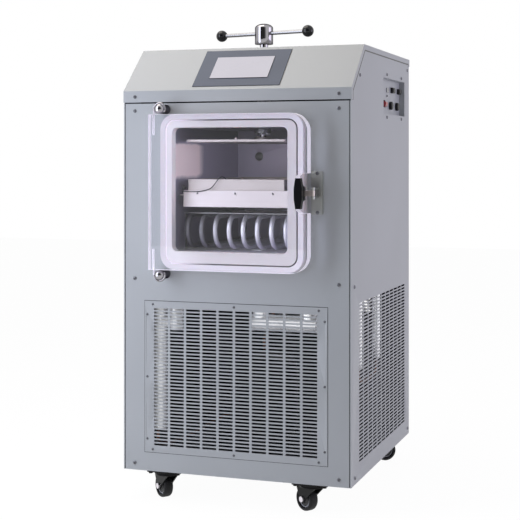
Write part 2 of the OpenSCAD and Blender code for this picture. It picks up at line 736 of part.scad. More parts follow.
// Sample probe: gland in the left wall, free lead over the tray's rim, steel tip in the tray
lead_d = 2.4;
tip_d = 4;
tip_l = 45;
lead_room = 304;                  // chamber width that the lead was laid out in
lead_shape = [[-146.5, 48, 6], [-143, 46.5, 6], [-141, 38, 5], [-140.5, 26, 1], [-139.5, 16.5, -2],
    [-134, 12, -3], [-116, 12, -3.3], [-97, 12, -2.8], [-78, 12.3, 0], [-62, 13, 6], [-52, 14, 17],
    [-45, 16, 27], [-39, 20, 33], [-34, 28, 33], [-29, 38, 25], [-25, 52, 12], [-22, 70, 5],
    [-20, 90, 3.8]];
lead_points = [for (p = lead_shape) [p[0] * inner_w / lead_room, p[1], shelf_top + p[2]]];
gland_x = -inner_w / 2;
module probe_gland() color("silver") at_cabinet() {
    p = lead_points[0];
    rod_x(p[1], p[2], gland_x, p[0] - 0.8, 8);
    translate([gland_x, p[1], p[2]]) rotate([0, 90, 0]) cylinder(h = 3, d = 14, $fn = 6);
}
module probe_lead() color("black") at_cabinet() tube(route(lead_points, 4), lead_d, 8);
module probe_tip() color("silver") at_cabinet() {
    p = lead_points[len(lead_points) - 1];
    rod_y(p[0], p[2], p[1], p[1] + tip_l, tip_d);
}

// Evaporator: a flattened helix of round tube whose turns run from front to back
coil_turns = 8;
coil_pitch = (inner_w / 2 - coil_side) / (coil_turns / 2 - 0.25);
coil_z = sill + 46;
coil_y = 24 + coil_d / 2 + coil_r + coil_run / 2;
coil_bend_steps = 8;
// One turn is a half bend at the front and a half bend at the back, joined by straight runs
function coil_bend(n, k, end) =
    let (a = end * 90 + 180 * k / coil_bend_steps, t = n + 0.25 - end * 0.25)
    [(t + k / coil_bend_steps / 2 - coil_turns / 2 + 0.25) * coil_pitch,
        coil_y - end * coil_run / 2 + coil_r * cos(a), coil_z + coil_r * sin(a)];
function coil_turn(n) = concat([for (k = [0 : coil_bend_steps]) coil_bend(n, k, 1)],
    n == coil_turns - 1 ? [] : [for (k = [0 : coil_bend_steps]) coil_bend(n, k, -1)]);
function coil_end(end) = [end * (coil_turns / 2 - 0.25) * coil_pitch, chamber_d - soft_gap,
    coil_z - end * coil_r];
module evaporator_coil() color("silver") at_cabinet()
    tube(concat([coil_end(-1)], [for (n = [0 : coil_turns - 1]) each coil_turn(n)], [coil_end(1)]),
        coil_d, 10);
// Straps that hold the coil down: a bar across the turns on two legs
strap_t = 3;
module coil_rails() color("silver") at_cabinet() {
    top = coil_z + coil_r + coil_d / 2 + soft_gap;
    x = inner_w / 2;
    for (y = [coil_y - coil_run / 2 - 2, coil_y + coil_run / 2 + 2]) {
        box([-x, y - 6, top], [x, y + 6, top + strap_t]);
        for (s = [-1, 1])
            box([s > 0 ? x - 2 : -x, y - 6, floor_z], [s > 0 ? x : -x + 2, y + 6, top]);
    }
}

// ---------------------------------------------------------------- door

post_low_z = slab_z0 - post_rise;
post_high_z = slab_z1 + post_rise;
post_tail_d = 8;
post_r = 12;
module door_slab() color("azure", 0.4) at_cabinet() difference() {
    upright(slab_front, slab_back) difference() {
        union() {
            translate([-slab_x, slab_z0]) square([2 * slab_x - slab_r, slab_z1 - slab_z0]);
            round_rect(0, slab_z0, slab_x, slab_z1, slab_r);
        }
        notch_outline();
    }
    for (z = [slab_z0 - 1, slab_z1 - pin_depth - 1])
        translate([pin_x, slab_mid, z]) cylinder(h = pin_depth + 2, d = pin_d + 2 * run_gap);
}
module notch_outline() {
    c = 8;
    x0 = slab_x - notch_w;
    polygon([[slab_x + 1, latch_z - notch_h / 2], [x0 + c, latch_z - notch_h / 2],
        [x0, latch_z - notch_h / 2 + c], [x0, latch_z + notch_h / 2 - c],
        [x0 + c, latch_z + notch_h / 2], [slab_x + 1, latch_z + notch_h / 2]]);
}
// Turned posts with a spigot for the eye and a domed end
module hinge_posts() color("silver") at_cabinet()
    for (z = [post_low_z, post_high_z])
        translate([pin_x + eye_r, 0, z]) rotate([90, 0, 0]) {
            reach = -slab_mid;
            seat = pin_d / 2 + 2 * run_gap;
            rotate_extrude() polygon(concat([[0, -6], [post_tail_d / 2, -6], [post_tail_d / 2, 0],
                [post_r, 0], [post_r, reach - seat], [eye_r - seat, reach - seat],
                [eye_r - seat, reach + seat]],
                [for (a = [0 : 15 : 90]) [post_r * cos(a), reach + seat + 0.6 * post_r * sin(a)]]));
        }
// Bent rods: an open eye round the post, then a straight pin into the door's edge
module hinge_pins() color("silver") at_cabinet()
    for (s = [-1, 1])
        translate([pin_x + eye_r, slab_mid, s > 0 ? post_high_z : post_low_z])
            mirror([0, 0, s > 0 ? 0 : 1]) {
                rotate([90, 0, 0]) rotate([0, 0, -30]) rotate_extrude(angle = 210)
                    translate([eye_r, 0]) circle(d = pin_d);
                translate([-eye_r, 0, -post_rise - pin_depth])
                    cylinder(h = post_rise + pin_depth, d = pin_d);
            }

// ---------------------------------------------------------------- latch

bracket_t = 3;
bracket_x = pivot_x + 1;
bracket_screw = bracket_h / 2 - 5;
module latch_bracket() color("silver") at_cabinet() {
    difference() {
        upright(-bracket_t, 0)
            round_rect(pivot_x - 15, latch_z - bracket_h / 2, pivot_x + 14, latch_z + bracket_h / 2, 3);
        for (s = [-1, 1])
            rod_y(bracket_x, latch_z + s * bracket_screw, -10, 10, screw_d + 2 * run_gap);
    }
    for (z = [latch_z - arm_h / 2 - arm_gap - ear_t, latch_z + arm_h / 2 + arm_gap])
        translate([0, 0, z]) linear_extrude(ear_t) {
            translate([pivot_x - knuckle_r, pivot_y]) square([2 * knuckle_r, -pivot_y - bracket_t]);
            translate([pivot_x, pivot_y]) circle(knuckle_r);
        }
    pin_l = arm_h + 2 * arm_gap + 2 * ear_t;
    translate([pivot_x, pivot_y, latch_z - pin_l / 2]) cylinder(h = pin_l, d = pivot_d);
    for (z = [latch_z - pin_l / 2 - 2, latch_z + pin_l / 2])
        translate([pivot_x, pivot_y, z]) cylinder(h = 2, d = pivot_d + 4);
}
module latch_arm() color("silver") at_cabinet() {
    difference() {
        translate([0, 0, latch_z - arm_h / 2]) linear_extrude(arm_h) {
            translate([pivot_x, pivot_y]) circle(knuckle_r);
            translate([stud_x, pivot_y - arm_t / 2]) square([pivot_x - stud_x, arm_t]);
            translate([stud_x, pivot_y]) circle(arm_t / 2);
        }
        translate([pivot_x, pivot_y, latch_z - arm_h / 2 - 1])
            cylinder(h = arm_h + 2, d = pivot_d + 2 * run_gap);
    }
    rod_y(stud_x, latch_z, stud_end, pivot_y - 1, stud_d);
}
stud_end = wing_back - 7;
module latch_knob() color("black") at_cabinet() difference() {
    union() {
        upright(wing_back, knob_back)
            polygon([for (p = [[-1, -0.76], [-0.6, -1], [0.6, -1], [1, -0.76], [1, 0.76], [0.6, 1],
                [-0.6, 1], [-1, 0.76]]) [stud_x + p[0] * knob_w / 2, latch_z + p[1] * knob_l / 2]]);
        upright(wing_back - wing_d, wing_back) {
            e = wing_w * 0.32;
            polygon([for (p = [[-e, -1], [e, -1], [wing_w / 2, -0.35], [wing_w / 2, 0.35], [e, 1],
                [-e, 1], [-wing_w / 2, 0.35], [-wing_w / 2, -0.35]])
                [stud_x + p[0], latch_z + p[1] * wing_l / 2]]);
        }
    }
    rod_y(stud_x, latch_z, stud_end - 1, knob_back + 1, stud_d + 2 * run_gap);
}

// ---------------------------------------------------------------- press

gland_d = 34;
gland_flange_d = 60;
collar_gap = 0.3;
stem_d = 22;
stem_drop = 115;
collar_h = 12;
gland_low = 12;
hub_z = cabinet_h + hub_up;
stem_z = cabinet_h - stem_drop;
module press_plate() color("silver") at_cabinet() {
    translate([0, 0, press_z]) linear_extrude(press_t)
        round_rect(-press_w / 2, press_y - press_d / 2, press_w / 2, press_y + press_d / 2, 6);
    translate([0, press_y, press_z + press_t]) cylinder(h = 8, d = 44);
    for (a = [0 : 60 : 300])
        translate([16 * cos(a), press_y + 16 * sin(a), press_z + press_t + 8])
            cylinder(h = 4, d = 7, $fn = 6);
    translate([0, press_y - press_d / 2 + 6, press_z + press_t]) cylinder(h = 5, d = 6);
}
module press_spindle() color("silver") at_cabinet()
    translate([0, press_y, press_z + press_t + 8])
        cylinder(h = hub_z - 6 - (press_z + press_t + 8), d = spindle_d);
// Stuffing gland through the chamber's roof, with the seat of the handle's stem
module spindle_gland() color("silver") at_cabinet() translate([0, press_y, 0])
    rotate_extrude() polygon([
        [spindle_d / 2 + run_gap, roof_z - gland_low], [22, roof_z - gland_low], [22, roof_z],
        [gland_d / 2, roof_z], [gland_d / 2, roof_z + chamber_t],
        [gland_flange_d / 2, roof_z + chamber_t], [gland_flange_d / 2, roof_z + chamber_t + 6],
        [gland_d / 2, roof_z + chamber_t + 6], [gland_d / 2, cabinet_h + 2],
        [stem_d / 2 + run_gap, cabinet_h + 2], [stem_d / 2 + run_gap, stem_z + collar_h + collar_gap],
        [stem_d / 2 + 3, stem_z + collar_h + collar_gap], [stem_d / 2 + 3, stem_z - 10],
        [spindle_d / 2 + run_gap, stem_z - 10]]);
// Hub and hollow threaded stem in one piece: it turns in the gland and drives the spindle
bar_z = hub_z + 29;
module handle_hub() color("silver") at_cabinet() translate([0, press_y, 0]) difference() {
    r = hub_d / 2;
    rotate_extrude() polygon(concat([[spindle_d / 2 + run_gap, stem_z],
        [stem_d / 2 + 2.5, stem_z], [stem_d / 2 + 2.5, stem_z + collar_h],
        [stem_d / 2, stem_z + collar_h], [stem_d / 2, hub_z], [r - 3, hub_z], [r, hub_z + 3],
        [r, hub_z + hub_h - 12]],
        [for (a = [15 : 15 : 75]) [r * cos(a), hub_z + hub_h - 12 + 12 * sin(a)]],
        [[0, hub_z + hub_h], [0, hub_z + 6], [spindle_d / 2 + run_gap, hub_z + 6]]));
    rotate([0, 0, bar_turn]) rod_x(0, bar_z, -hub_d, hub_d, bar_d + 2 * run_gap);
}
module handle_bar() color("silver") at_cabinet() translate([0, press_y, 0]) rotate([0, 0, bar_turn]) {
    l = ball_span / 2 - ball_d / 2 + ball_bore;
    rod_x(0, bar_z, -l, l, bar_d);
}
ball_bore = 14;
module ball_knobs() color("black") at_cabinet() translate([0, press_y, 0]) rotate([0, 0, bar_turn])
    for (s = [-1, 1])
        difference() {
            translate([s * ball_span / 2, 0, bar_z]) sphere(d = ball_d);
            rod_x(0, bar_z, s > 0 ? 0 : -ball_span / 2 + ball_d / 2 - ball_bore,
                s > 0 ? ball_span / 2 - ball_d / 2 + ball_bore : 0, bar_d + 2 * run_gap);
        }

// ---------------------------------------------------------------- casters

caster_turn = [140, 146, 120, 19];
caster_y = [caster_inset, caster_inset, cabinet_d - caster_inset, cabinet_d - caster_inset];
caster_side = [-1, 1, -1, 1];
plate_t = 4;
race_d = 60;
race_h = 5;
crown_t = 3;
crown_gap = 0.3;
king_d = 12;
king_head = 3;
crown_z = -plate_t - race_h - crown_gap;
axle_z = wheel_d / 2 - caster_h;
leg_t = 3;
leg_in = wheel_w / 2 + 1;
lug_x = 38.5;
lug_z = crown_z - 6;
lug_pin_d = 4;
pedal_l = 22.5;
module at_caster(i) at_cabinet()
    translate([caster_side[i] * (caster_x + (i > 1 ? rear_caster_out : 0)), caster_y[i], 0]) children();

module caster_plates() color("dimgray")
    for (i = [0 : 3])
        at_caster(i) {
            translate([0, 0, -plate_t]) linear_extrude(plate_t)
                round_rect(-plate_l / 2, -plate_d / 2, plate_l / 2, plate_d / 2, 8);
            translate([0, 0, -plate_t - race_h]) cylinder(h = race_h, d = race_d);
            for (x = [-1, 1])
                for (y = [-1, 1])
                    translate([x * (plate_l / 2 - 9), y * (plate_d / 2 - 9), -plate_t - 4])
                        cylinder(h = 4, d = 11, $fn = 6);
            translate([0, 0, crown_z - crown_t - 2 * crown_gap])
                cylinder(h = crown_t + race_h / 2, d = king_d);
            translate([0, 0, crown_z - crown_t - crown_gap - king_head])
                cylinder(h = king_head, d = king_d + 6);
        }
// Fork: a round crown, two legs that reach back to the axle and lugs for a brake pedal
module caster_fork(i) color("black") at_caster(i) rotate([0, 0, caster_turn[i]]) {
    difference() {
        translate([0, 0, crown_z - crown_t]) linear_extrude(crown_t) {
            circle(d = race_d + 4);
            translate([0, -leg_in - leg_t]) square([lug_x + 5, 2 * (leg_in + leg_t)]);
        }
        translate([0, 0, crown_z - crown_t - 1]) cylinder(h = crown_t + 2, d = king_d + 2 * run_gap);
        translate([24, -leg_in, crown_z - crown_t - 1]) cube([30, 2 * leg_in, crown_t + 2]);
    }
    for (s = [-1, 1])
        upright(s > 0 ? leg_in : -leg_in - leg_t, s > 0 ? leg_in + leg_t : -leg_in) {
            polygon([[-26, crown_z - crown_t], [lug_x + 5, crown_z - crown_t],
                [lug_x + 5, lug_z - 4], [trail + 10, axle_z], [trail - 10, axle_z]]);
            translate([trail, axle_z]) circle(10);
        }
    rod_y(trail, axle_z, -leg_in - leg_t - 4, leg_in + leg_t + 4, axle_d);
    for (y = [-leg_in - leg_t - 4, leg_in + leg_t])
        rod_y(trail, axle_z, y, y + 4, axle_d + 6);
    rod_y(lug_x, lug_z, -leg_in - 1, leg_in + 1, lug_pin_d);
}
module caster_wheel(i) color("dimgray") at_caster(i) rotate([0, 0, caster_turn[i]])
    translate([trail, 0, axle_z]) rotate([90, 0, 0]) {
        r = wheel_d / 2;
        w = wheel_w / 2;
        b = axle_d / 2 + run_gap;
        rotate_extrude() polygon([[b, -w], [9, -w], [11, -w + 4], [r - 11, -w + 4], [r - 9, -w],
            [r - 4, -w], [r - 1, -w + 2], [r, -w + 6], [r, w - 6], [r - 1, w - 2], [r - 4, w],
            [r - 9, w], [r - 11, w - 4], [11, w - 4], [9, w], [b, w]]);
    }
module brake_pedal(i) color("black") at_caster(i) rotate([0, 0, caster_turn[i]])
    translate([lug_x, 0, lug_z]) upright(1 - leg_in, leg_in - 1) difference() {
        union() {
            circle(d = lug_pin_d + 4);
            rotate(-14) translate([3, 0]) square([pedal_l - 3, 3]);
        }
        circle(d = lug_pin_d + 2 * run_gap);
    }
module caster_fork_fl() caster_fork(0);
module caster_fork_fr() caster_fork(1);
module caster_fork_rl() caster_fork(2);
module caster_fork_rr() caster_fork(3);
module caster_wheel_fl() caster_wheel(0);
module caster_wheel_fr() caster_wheel(1);
module caster_wheel_rl() caster_wheel(2);
module caster_wheel_rr() caster_wheel(3);
module brake_pedal_fl() brake_pedal(0);
module brake_pedal_fr() brake_pedal(1);

// ---------------------------------------------------------------- machinery

can_x = -70;
can_back = 210;
can_y = cabinet_d - can_back;
can_foot = 14;
can_top = pan_t + can_foot + can_h;
module compressor() color("black") at_cabinet() translate([can_x, can_y, pan_t]) {
    r = can_d / 2;
    translate([0, 0, can_foot]) rotate_extrude() polygon([[0, 0], [r * 0.7, 0], [r * 0.94, can_h * 0.06],
        [r, can_h * 0.16], [r, can_h * 0.78], [r * 0.92, can_h * 0.9], [r * 0.7, can_h * 0.965],
        [0, can_h]]);
    for (x = [-1, 1])
        for (y = [-1, 1]) {
            translate([x * (r - 8), y * (r - 8), 0]) cylinder(h = can_foot, d = 26);
            translate([x * (r - 8) - 14, y * (r - 8) - 14, can_foot]) cube([28, 28, 4]);
        }
    translate([-r + 8, -r + 8, can_foot]) cube([2 * r - 16, 2 * r - 16, 4]);
    translate([-r - 24, -32, can_h / 2 - 20]) cube([40, 64, 80]);
}
coil_block = [44, 270, 262];
block_x = cabinet_w / 2 - 110;
block_y = cabinet_d - 330;
block_z = pan_t;
fins = 45;
// Finned block whose tubes run up and down between its fins
module condenser() color("silver") at_cabinet() translate([block_x, block_y, block_z]) {
    pitch = coil_block[1] / fins;
    linear_extrude(coil_block[2]) {
        translate([coil_block[0] / 2 - 5, 0]) square([10, coil_block[1]]);
        for (i = [0 : fins])
            translate([0, i * pitch * (1 - 1 / coil_block[1])]) square([coil_block[0], 1]);
    }
    for (z = [0, coil_block[2] - 3])
        translate([0, 0, z]) cube([coil_block[0], coil_block[1], 3]);
}
fan_x = block_x - 4;
fan_y = block_y + coil_block[1] / 2;
fan_z = block_z + coil_block[2] / 2;
shroud_depth = 40;
motor_d = 84;
motor_l = 60;
fan_boss_d = 44;
shaft_d = 8;
blade_w = 24;
module fan_shroud() color("dimgray") at_cabinet() {
    difference() {
        union() {
            box([fan_x, block_y, block_z], [block_x, block_y + coil_block[1], block_z + coil_block[2]]);
            rod_x(fan_y, fan_z, fan_x - shroud_depth, fan_x, fan_d + 14);
        }
        rod_x(fan_y, fan_z, fan_x - shroud_depth - 1, block_x + 1, fan_d + 10);
    }
    // two cross bars carry the motor behind the blade
    for (z = [-1, 1])
        box([fan_x - shroud_depth - 5, block_y + 8, fan_z + z * 34 - 6],
            [fan_x - shroud_depth, block_y + coil_block[1] - 8, fan_z + z * 34 + 6]);
}
module fan_motor() color("black") at_cabinet() {
    x = fan_x - shroud_depth - 5;
    rod_x(fan_y, fan_z, x - motor_l, x, motor_d);
    rod_x(fan_y, fan_z, x, x + 30, shaft_d);
}
module fan_blade() color("gray") at_cabinet() translate([fan_x - shroud_depth + 10, fan_y, fan_z])
    rotate([0, 90, 0]) difference() {
        union() {
            cylinder(h = blade_w - 6, d = fan_boss_d);
            for (a = [0 : 72 : 288])
                rotate([0, 0, a]) translate([10, 0, (blade_w - 6) / 2]) rotate([28, 0, 0])
                    translate([0, -24, -1]) cube([fan_d / 2 - 14, 48, 2]);
        }
        translate([0, 0, -1]) cylinder(h = blade_w + 2, d = shaft_d + 2 * run_gap);
    }
// Foil-wrapped pipes that show through the grilles
wrap_d = 36;
side_wrap_d = 25;
drop_x = -cabinet_w / 2 + 76;
drop_y = 46;
drop_low = 95;
branch_x = drop_x + 45;
branch_low = 352;
loop_x = [34, 164];
loop_y = 60;
loop_low = 374;
side_wrap_x = cabinet_w / 2 - 50;
side_wrap_y = [253, 449];
side_wrap_z = [245, 560];
module insulated_pipes() color("silver") at_cabinet() {
    // tee on the left: a long drop and a short branch beside it
    rod_z(drop_x, drop_y, drop_low, rail_top, wrap_d);
    rod_z(branch_x, drop_y, branch_low, rail_top, wrap_d);
    rod_x(drop_y, branch_low + 20, drop_x, branch_x, wrap_d - 2);
    // low loop on the right
    for (x = loop_x)
        rod_z(x, loop_y, loop_low, rail_top, wrap_d + 4);
    rod_x(loop_y, loop_low, loop_x[0] - 22, loop_x[1] + 22, wrap_d + 10);
    // two drops beside the condenser that enter the chamber's foam
    for (y = side_wrap_y) {
        rod_z(side_wrap_x, y, side_wrap_z[0], side_wrap_z[1], side_wrap_d);
        rod_x(y, side_wrap_z[1] - 16, inner_w / 2 + chamber_t + foam_t, side_wrap_x, side_wrap_d - 1);
    }
}
copper_d = 10;
module copper_pipes() color("peru") at_cabinet() {
    top = coil_block[2] + pan_t;
    x = block_x + coil_block[0] / 2;
    high = can_top + 61;
    tube(route([[can_x, can_y, can_top], [can_x, can_y, can_top + 20], [can_x, can_y, high - 22],
        [can_x + 14, can_y, high - 5], [can_x + 40, can_y, high], [x - 40, can_y, high],
        [x - 14, can_y, high - 5], [x, can_y, high - 18], [x, can_y, top + 14], [x, can_y, top]], 3),
        copper_d);
    tube(route([[x, block_y + 20, top], [x, block_y + 20, top + 12], [x, block_y + 20, top + 30],
        [x - 20, block_y + 12, top + 60],
        [60, block_y - 20, top + 80], [10, block_y - 20, top + 95],
        [0, block_y - 20, top + 130], [0, block_y - 20, rail_top]], 3), copper_d);
    // suction line up into the long drop on the left
    reach = (can_d / 2 + soft_gap) * cos(45);
    tube(route(concat([for (p = [[0, 0, 0], [0, 0, -10], [0, 0, -22], [3, 14, -38], [12, 58, -43],
            [28, 158, -41]]) [drop_x + p[0], drop_y + p[1], drop_low + p[2]]],
        [[can_x - reach - 40, can_y - reach - 66, 68], [can_x - reach - 14, can_y - reach - 14, 80],
        [can_x - reach, can_y - reach, 80]]), 3), copper_d);
    // return bend between the two drops beside the condenser
    drop = side_wrap_y[1] - side_wrap_y[0];
    tube(route([for (p = [[0, 0], [0, -16], [14, -34], [40, -42], [drop - 40, -42], [drop - 14, -34],
            [drop, -16], [drop, 0]])
        [side_wrap_x, side_wrap_y[0] + p[0], side_wrap_z[0] + p[1]]], 3), copper_d);
}
// Pump connection: a tube from the chamber's rear wall that ends in a clamp flange
module vacuum_port() color("silver") at_cabinet() translate([port_x, chamber_d + chamber_t, port_z])
    rotate([-90, 0, 0]) {
        l = cabinet_d + port_reach - chamber_d - chamber_t;
        rotate_extrude() polygon([[port_bore / 2, 0], [port_d / 2, 0], [port_d / 2, l - 8],
            [port_flange_d / 2, l - 4], [port_flange_d / 2, l], [port_bore / 2, l]]);
    }

base_pan();
corner_posts();
chamber_rails();
front_panel();
front_grille();
console_cover();
left_panel();
right_panel();
rear_panel();
cabinet_screws();
small_screws();
control_fascia();
touch_screen();
recess_box();
relay_plug();
data_sockets();
power_rocker();
round_sockets();
chamber_shell();
chamber_foam();
door_gasket();
shelf_cleats();
heated_shelf();
product_tray();
probe_gland();
probe_lead();
probe_tip();
evaporator_coil();
coil_rails();
door_slab();
hinge_posts();
hinge_pins();
latch_bracket();
latch_arm();
latch_knob();
press_plate();
press_spindle();
spindle_gland();
handle_hub();
handle_bar();
ball_knobs();
caster_plates();
caster_fork_fl();
caster_wheel_fl();
caster_fork_fr();
caster_wheel_fr();
caster_fork_rl();
caster_wheel_rl();
caster_fork_rr();
caster_wheel_rr();
brake_pedal_fl();
brake_pedal_fr();
compressor();
condenser();
fan_shroud();
fan_motor();
fan_blade();
insulated_pipes();
copper_pipes();
vacuum_port();
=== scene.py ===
# %% [markdown]
# # A freeze dryer, dressed in Blender
# The solids of this machine come from a CAD frame: cabinet, chamber, door, latch, press and
# casters. This lesson gives them what a solid model lacks: softened edges, crinkled foil,
# screws with a cross recess, a wound coil, and a finish for every surface.

# %% Load the frame
import json
from math import cos, hypot, pi, radians, sin, sqrt
import bpy, bmesh
from mathutils import Matrix, Vector, noise


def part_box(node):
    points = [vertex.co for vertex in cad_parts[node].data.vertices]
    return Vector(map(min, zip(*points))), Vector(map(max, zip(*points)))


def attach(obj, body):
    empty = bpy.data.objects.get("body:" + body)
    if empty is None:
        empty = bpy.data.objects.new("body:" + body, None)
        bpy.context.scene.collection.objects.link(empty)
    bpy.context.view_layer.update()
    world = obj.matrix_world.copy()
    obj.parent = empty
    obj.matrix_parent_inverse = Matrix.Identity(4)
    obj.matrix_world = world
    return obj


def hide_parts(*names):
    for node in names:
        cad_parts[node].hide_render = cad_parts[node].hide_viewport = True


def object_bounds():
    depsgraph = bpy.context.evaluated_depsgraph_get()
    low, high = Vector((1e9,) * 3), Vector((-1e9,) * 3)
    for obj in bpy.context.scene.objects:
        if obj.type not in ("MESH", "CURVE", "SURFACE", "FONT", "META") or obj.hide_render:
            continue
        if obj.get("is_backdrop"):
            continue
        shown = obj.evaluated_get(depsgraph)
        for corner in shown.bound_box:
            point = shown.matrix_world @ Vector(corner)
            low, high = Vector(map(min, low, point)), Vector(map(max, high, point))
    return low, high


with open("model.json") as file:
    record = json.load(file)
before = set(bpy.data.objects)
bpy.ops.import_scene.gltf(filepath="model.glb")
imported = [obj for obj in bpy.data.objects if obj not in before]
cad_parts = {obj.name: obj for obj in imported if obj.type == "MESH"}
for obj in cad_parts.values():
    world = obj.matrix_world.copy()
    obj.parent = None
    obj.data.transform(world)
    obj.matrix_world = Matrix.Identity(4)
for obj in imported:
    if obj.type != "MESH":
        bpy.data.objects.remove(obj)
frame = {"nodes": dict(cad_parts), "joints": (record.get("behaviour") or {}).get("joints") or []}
cad_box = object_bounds()
nodes = frame["nodes"]
print("nodes:", len(nodes), "box:", cad_box)

# %% [markdown]
# ## Where things are
# Sizes on this machine are easiest to think of in millimetres from the bottom edge of the
# cabinet's front, so one function turns such a point into metres in the frame. Its origin
# is the lowest front edge of the front panel, which the chamber's 3 mm flange lies on.

# %% Cabinet coordinates
MM = 0.001
FLANGE_T = 3 * MM
FRONT_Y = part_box("chamber_shell")[0].y + FLANGE_T
BASE_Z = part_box("front_panel")[0].z

def at(x, y, z):
    "A point in millimetres from the cabinet's bottom front edge, as a frame point in metres."
    return Vector((x * MM, y * MM + FRONT_Y, z * MM + BASE_Z))

def box_mm(node):
    "A node's box in the same millimetres, as (low, high)."
    low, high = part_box(node)
    return [Vector((p.x / MM, (p.y - FRONT_Y) / MM, (p.z - BASE_Z) / MM)) for p in (low, high)]

print("front face at y =", round(FRONT_Y, 4), "m, bottom edge at z =", round(BASE_Z, 4), "m")

# %% [markdown]
# ## Camera
# A product shot of a tall cabinet keeps its upright edges parallel. The camera stays level
# and looks from the front right, and lens shift moves the frame down, as on a view camera.

# %% Camera
def put(name, data):
    "Makes an object of some data and puts it in the scene."
    made = bpy.data.objects.new(name, data)
    bpy.context.scene.collection.objects.link(made)
    return made

lens_data = bpy.data.cameras.new("studio_camera")
lens_data.lens, lens_data.sensor_width = 86.8, 36.0
lens_data.shift_y = -0.193
lens_data.clip_start, lens_data.clip_end = 0.05, 60.0
camera = put("studio_camera", lens_data)
camera.location = (1.0692, -3.2083, 0.8629)
camera.rotation_euler = (radians(90), 0, radians(19.004))
bpy.context.scene.camera = camera
print("camera at", [round(v, 3) for v in camera.location])

# %% [markdown]
# ## Small helpers for materials
# Every finish below is built from a few shader nodes. One function adds a node and connects
# it, one turns a written sRGB colour into the linear values that a shader works with, one
# lays a grain over a surface at a real size, and one reckons with two values.

# %% Material helpers
def add(tree, kind, inputs=None, **settings):
    "Adds one shader node; inputs are values or the outputs of other nodes."
    new = tree.nodes.new(kind)
    for name, value in settings.items():
        setattr(new, name, value)
    for name, value in (inputs or {}).items():
        if isinstance(value, bpy.types.NodeSocket):
            tree.links.new(value, new.inputs[name])
        else:
            new.inputs[name].default_value = value
    return new

def colour(code):
    "An sRGB hex colour such as #b4b8bf as linear red, green, blue and alpha."
    parts = [int(code[i:i + 2], 16) / 255 for i in (1, 3, 5)]
    return [c / 12.92 if c <= 0.04045 else ((c + 0.055) / 1.055) ** 2.4 for c in parts] + [1.0]

def start(name, code, roughness, metallic=0.0, **more):
    "A new material with a principled shader; returns the material, its tree and the shader."
    made = bpy.data.materials.new(name)
    made.use_nodes = True
    shader = made.node_tree.nodes["Principled BSDF"]
    values = {"Base_Color": colour(code), "Roughness": roughness, "Metallic": metallic, **more}
    for socket, value in values.items():
        shader.inputs[socket.replace("_", " ")].default_value = value
    return made, made.node_tree, shader

def grain(tree, size_mm, kind="ShaderNodeTexNoise", stretch=(1, 1, 1), **inputs):
    "A noise or cell pattern on object coordinates, with one feature every size_mm."
    place = add(tree, "ShaderNodeTexCoord")
    scale = [s * 1000 / size_mm for s in stretch]
    mapped = add(tree, "ShaderNodeMapping", {"Vector": place.outputs["Object"], "Scale": scale})
    return add(tree, kind, {"Vector": mapped.outputs["Vector"], "Scale": 1.0, **inputs}).outputs[0]

def reckon(tree, operation, a, b, **settings):
    "The result of one operation on two values."
    return add(tree, "ShaderNodeMath", {0: a, 1: b}, operation=operation, **settings).outputs[0]

print("material helpers ready")

# %% [markdown]
# ## What a pattern does
# A pattern can stand in for a relief or blend two colours. A third helper measures a place
# on the machine, for finishes that change from one side to the other, and the last one
# makes the commonest finish: one colour with one fine, even grain.

# %% Pattern helpers
def relief(tree, shader, height, depth_mm, strength=1.0):
    "Uses a pattern as a relief of depth_mm under the light."
    sizes = {"Height": height, "Distance": depth_mm * MM, "Strength": strength}
    tree.links.new(add(tree, "ShaderNodeBump", sizes).outputs["Normal"], shader.inputs["Normal"])

def tint(tree, shader, factor, code_a, code_b, socket="Base Color", ends=(0.3, 0.7)):
    "Blends a colour of the shader between two colours by a pattern."
    ramp = add(tree, "ShaderNodeValToRGB", {"Fac": factor})
    for stop, place, code in zip(ramp.color_ramp.elements, ends, (code_a, code_b)):
        stop.position, stop.color = place, colour(code)
    tree.links.new(ramp.outputs["Color"], shader.inputs[socket])

def along(tree, axis, first, last):
    "0 at one position and 1 at another, in cabinet millimetres along X, Y or Z."
    place = add(tree, "ShaderNodeTexCoord")
    spot = add(tree, "ShaderNodeSeparateXYZ", {"Vector": place.outputs["Object"]})
    ends = [getattr(at(v, v, v), axis.lower()) for v in (first, last)]
    limits = {"Value": spot.outputs[axis], "From Min": ends[0], "From Max": ends[1]}
    return add(tree, "ShaderNodeMapRange", limits).outputs["Result"]

def even(name, code, roughness, grain_mm, depth_mm, strength, detail=1.0, **more):
    "A finish with one even grain in its relief, as a mould, a die or a bath leaves it."
    made, tree, shader = start(name, code, roughness, **more)
    relief(tree, shader, grain(tree, grain_mm, Detail=detail), depth_mm, strength)
    return made

print("pattern helpers ready")

# %% [markdown]
# ## Powder coat
# The cabinet is mild steel sprayed with polyester powder and baked. The paint flows out to a
# fine orange peel about a millimetre across. It is drawn at 2.5 mm, coarser than the real
# one, because a finer one wouldn't show. The sheets' inner sides get a black lining, which
# is painted shade: it keeps anything bright from showing through the slots.

# %% Powder coat
powder, tree, shader = start("powder_coat_light_grey", "#b3b7ba", 0.42)
relief(tree, shader, grain(tree, 2.5, Detail=2.0), 0.05, 0.35)
tint(tree, shader, grain(tree, 260, Detail=1.0), "#b1b5b8", "#b5b9bc")
# The black lining is painted shade for the dark inside of the cabinet.
shade_lining = even("black_lining_painted_shade", "#0b0b0c", 0.95, 2, 0.4, 0.6, detail=3.0, IOR=1.45)
print("made", powder.name, shade_lining.name)
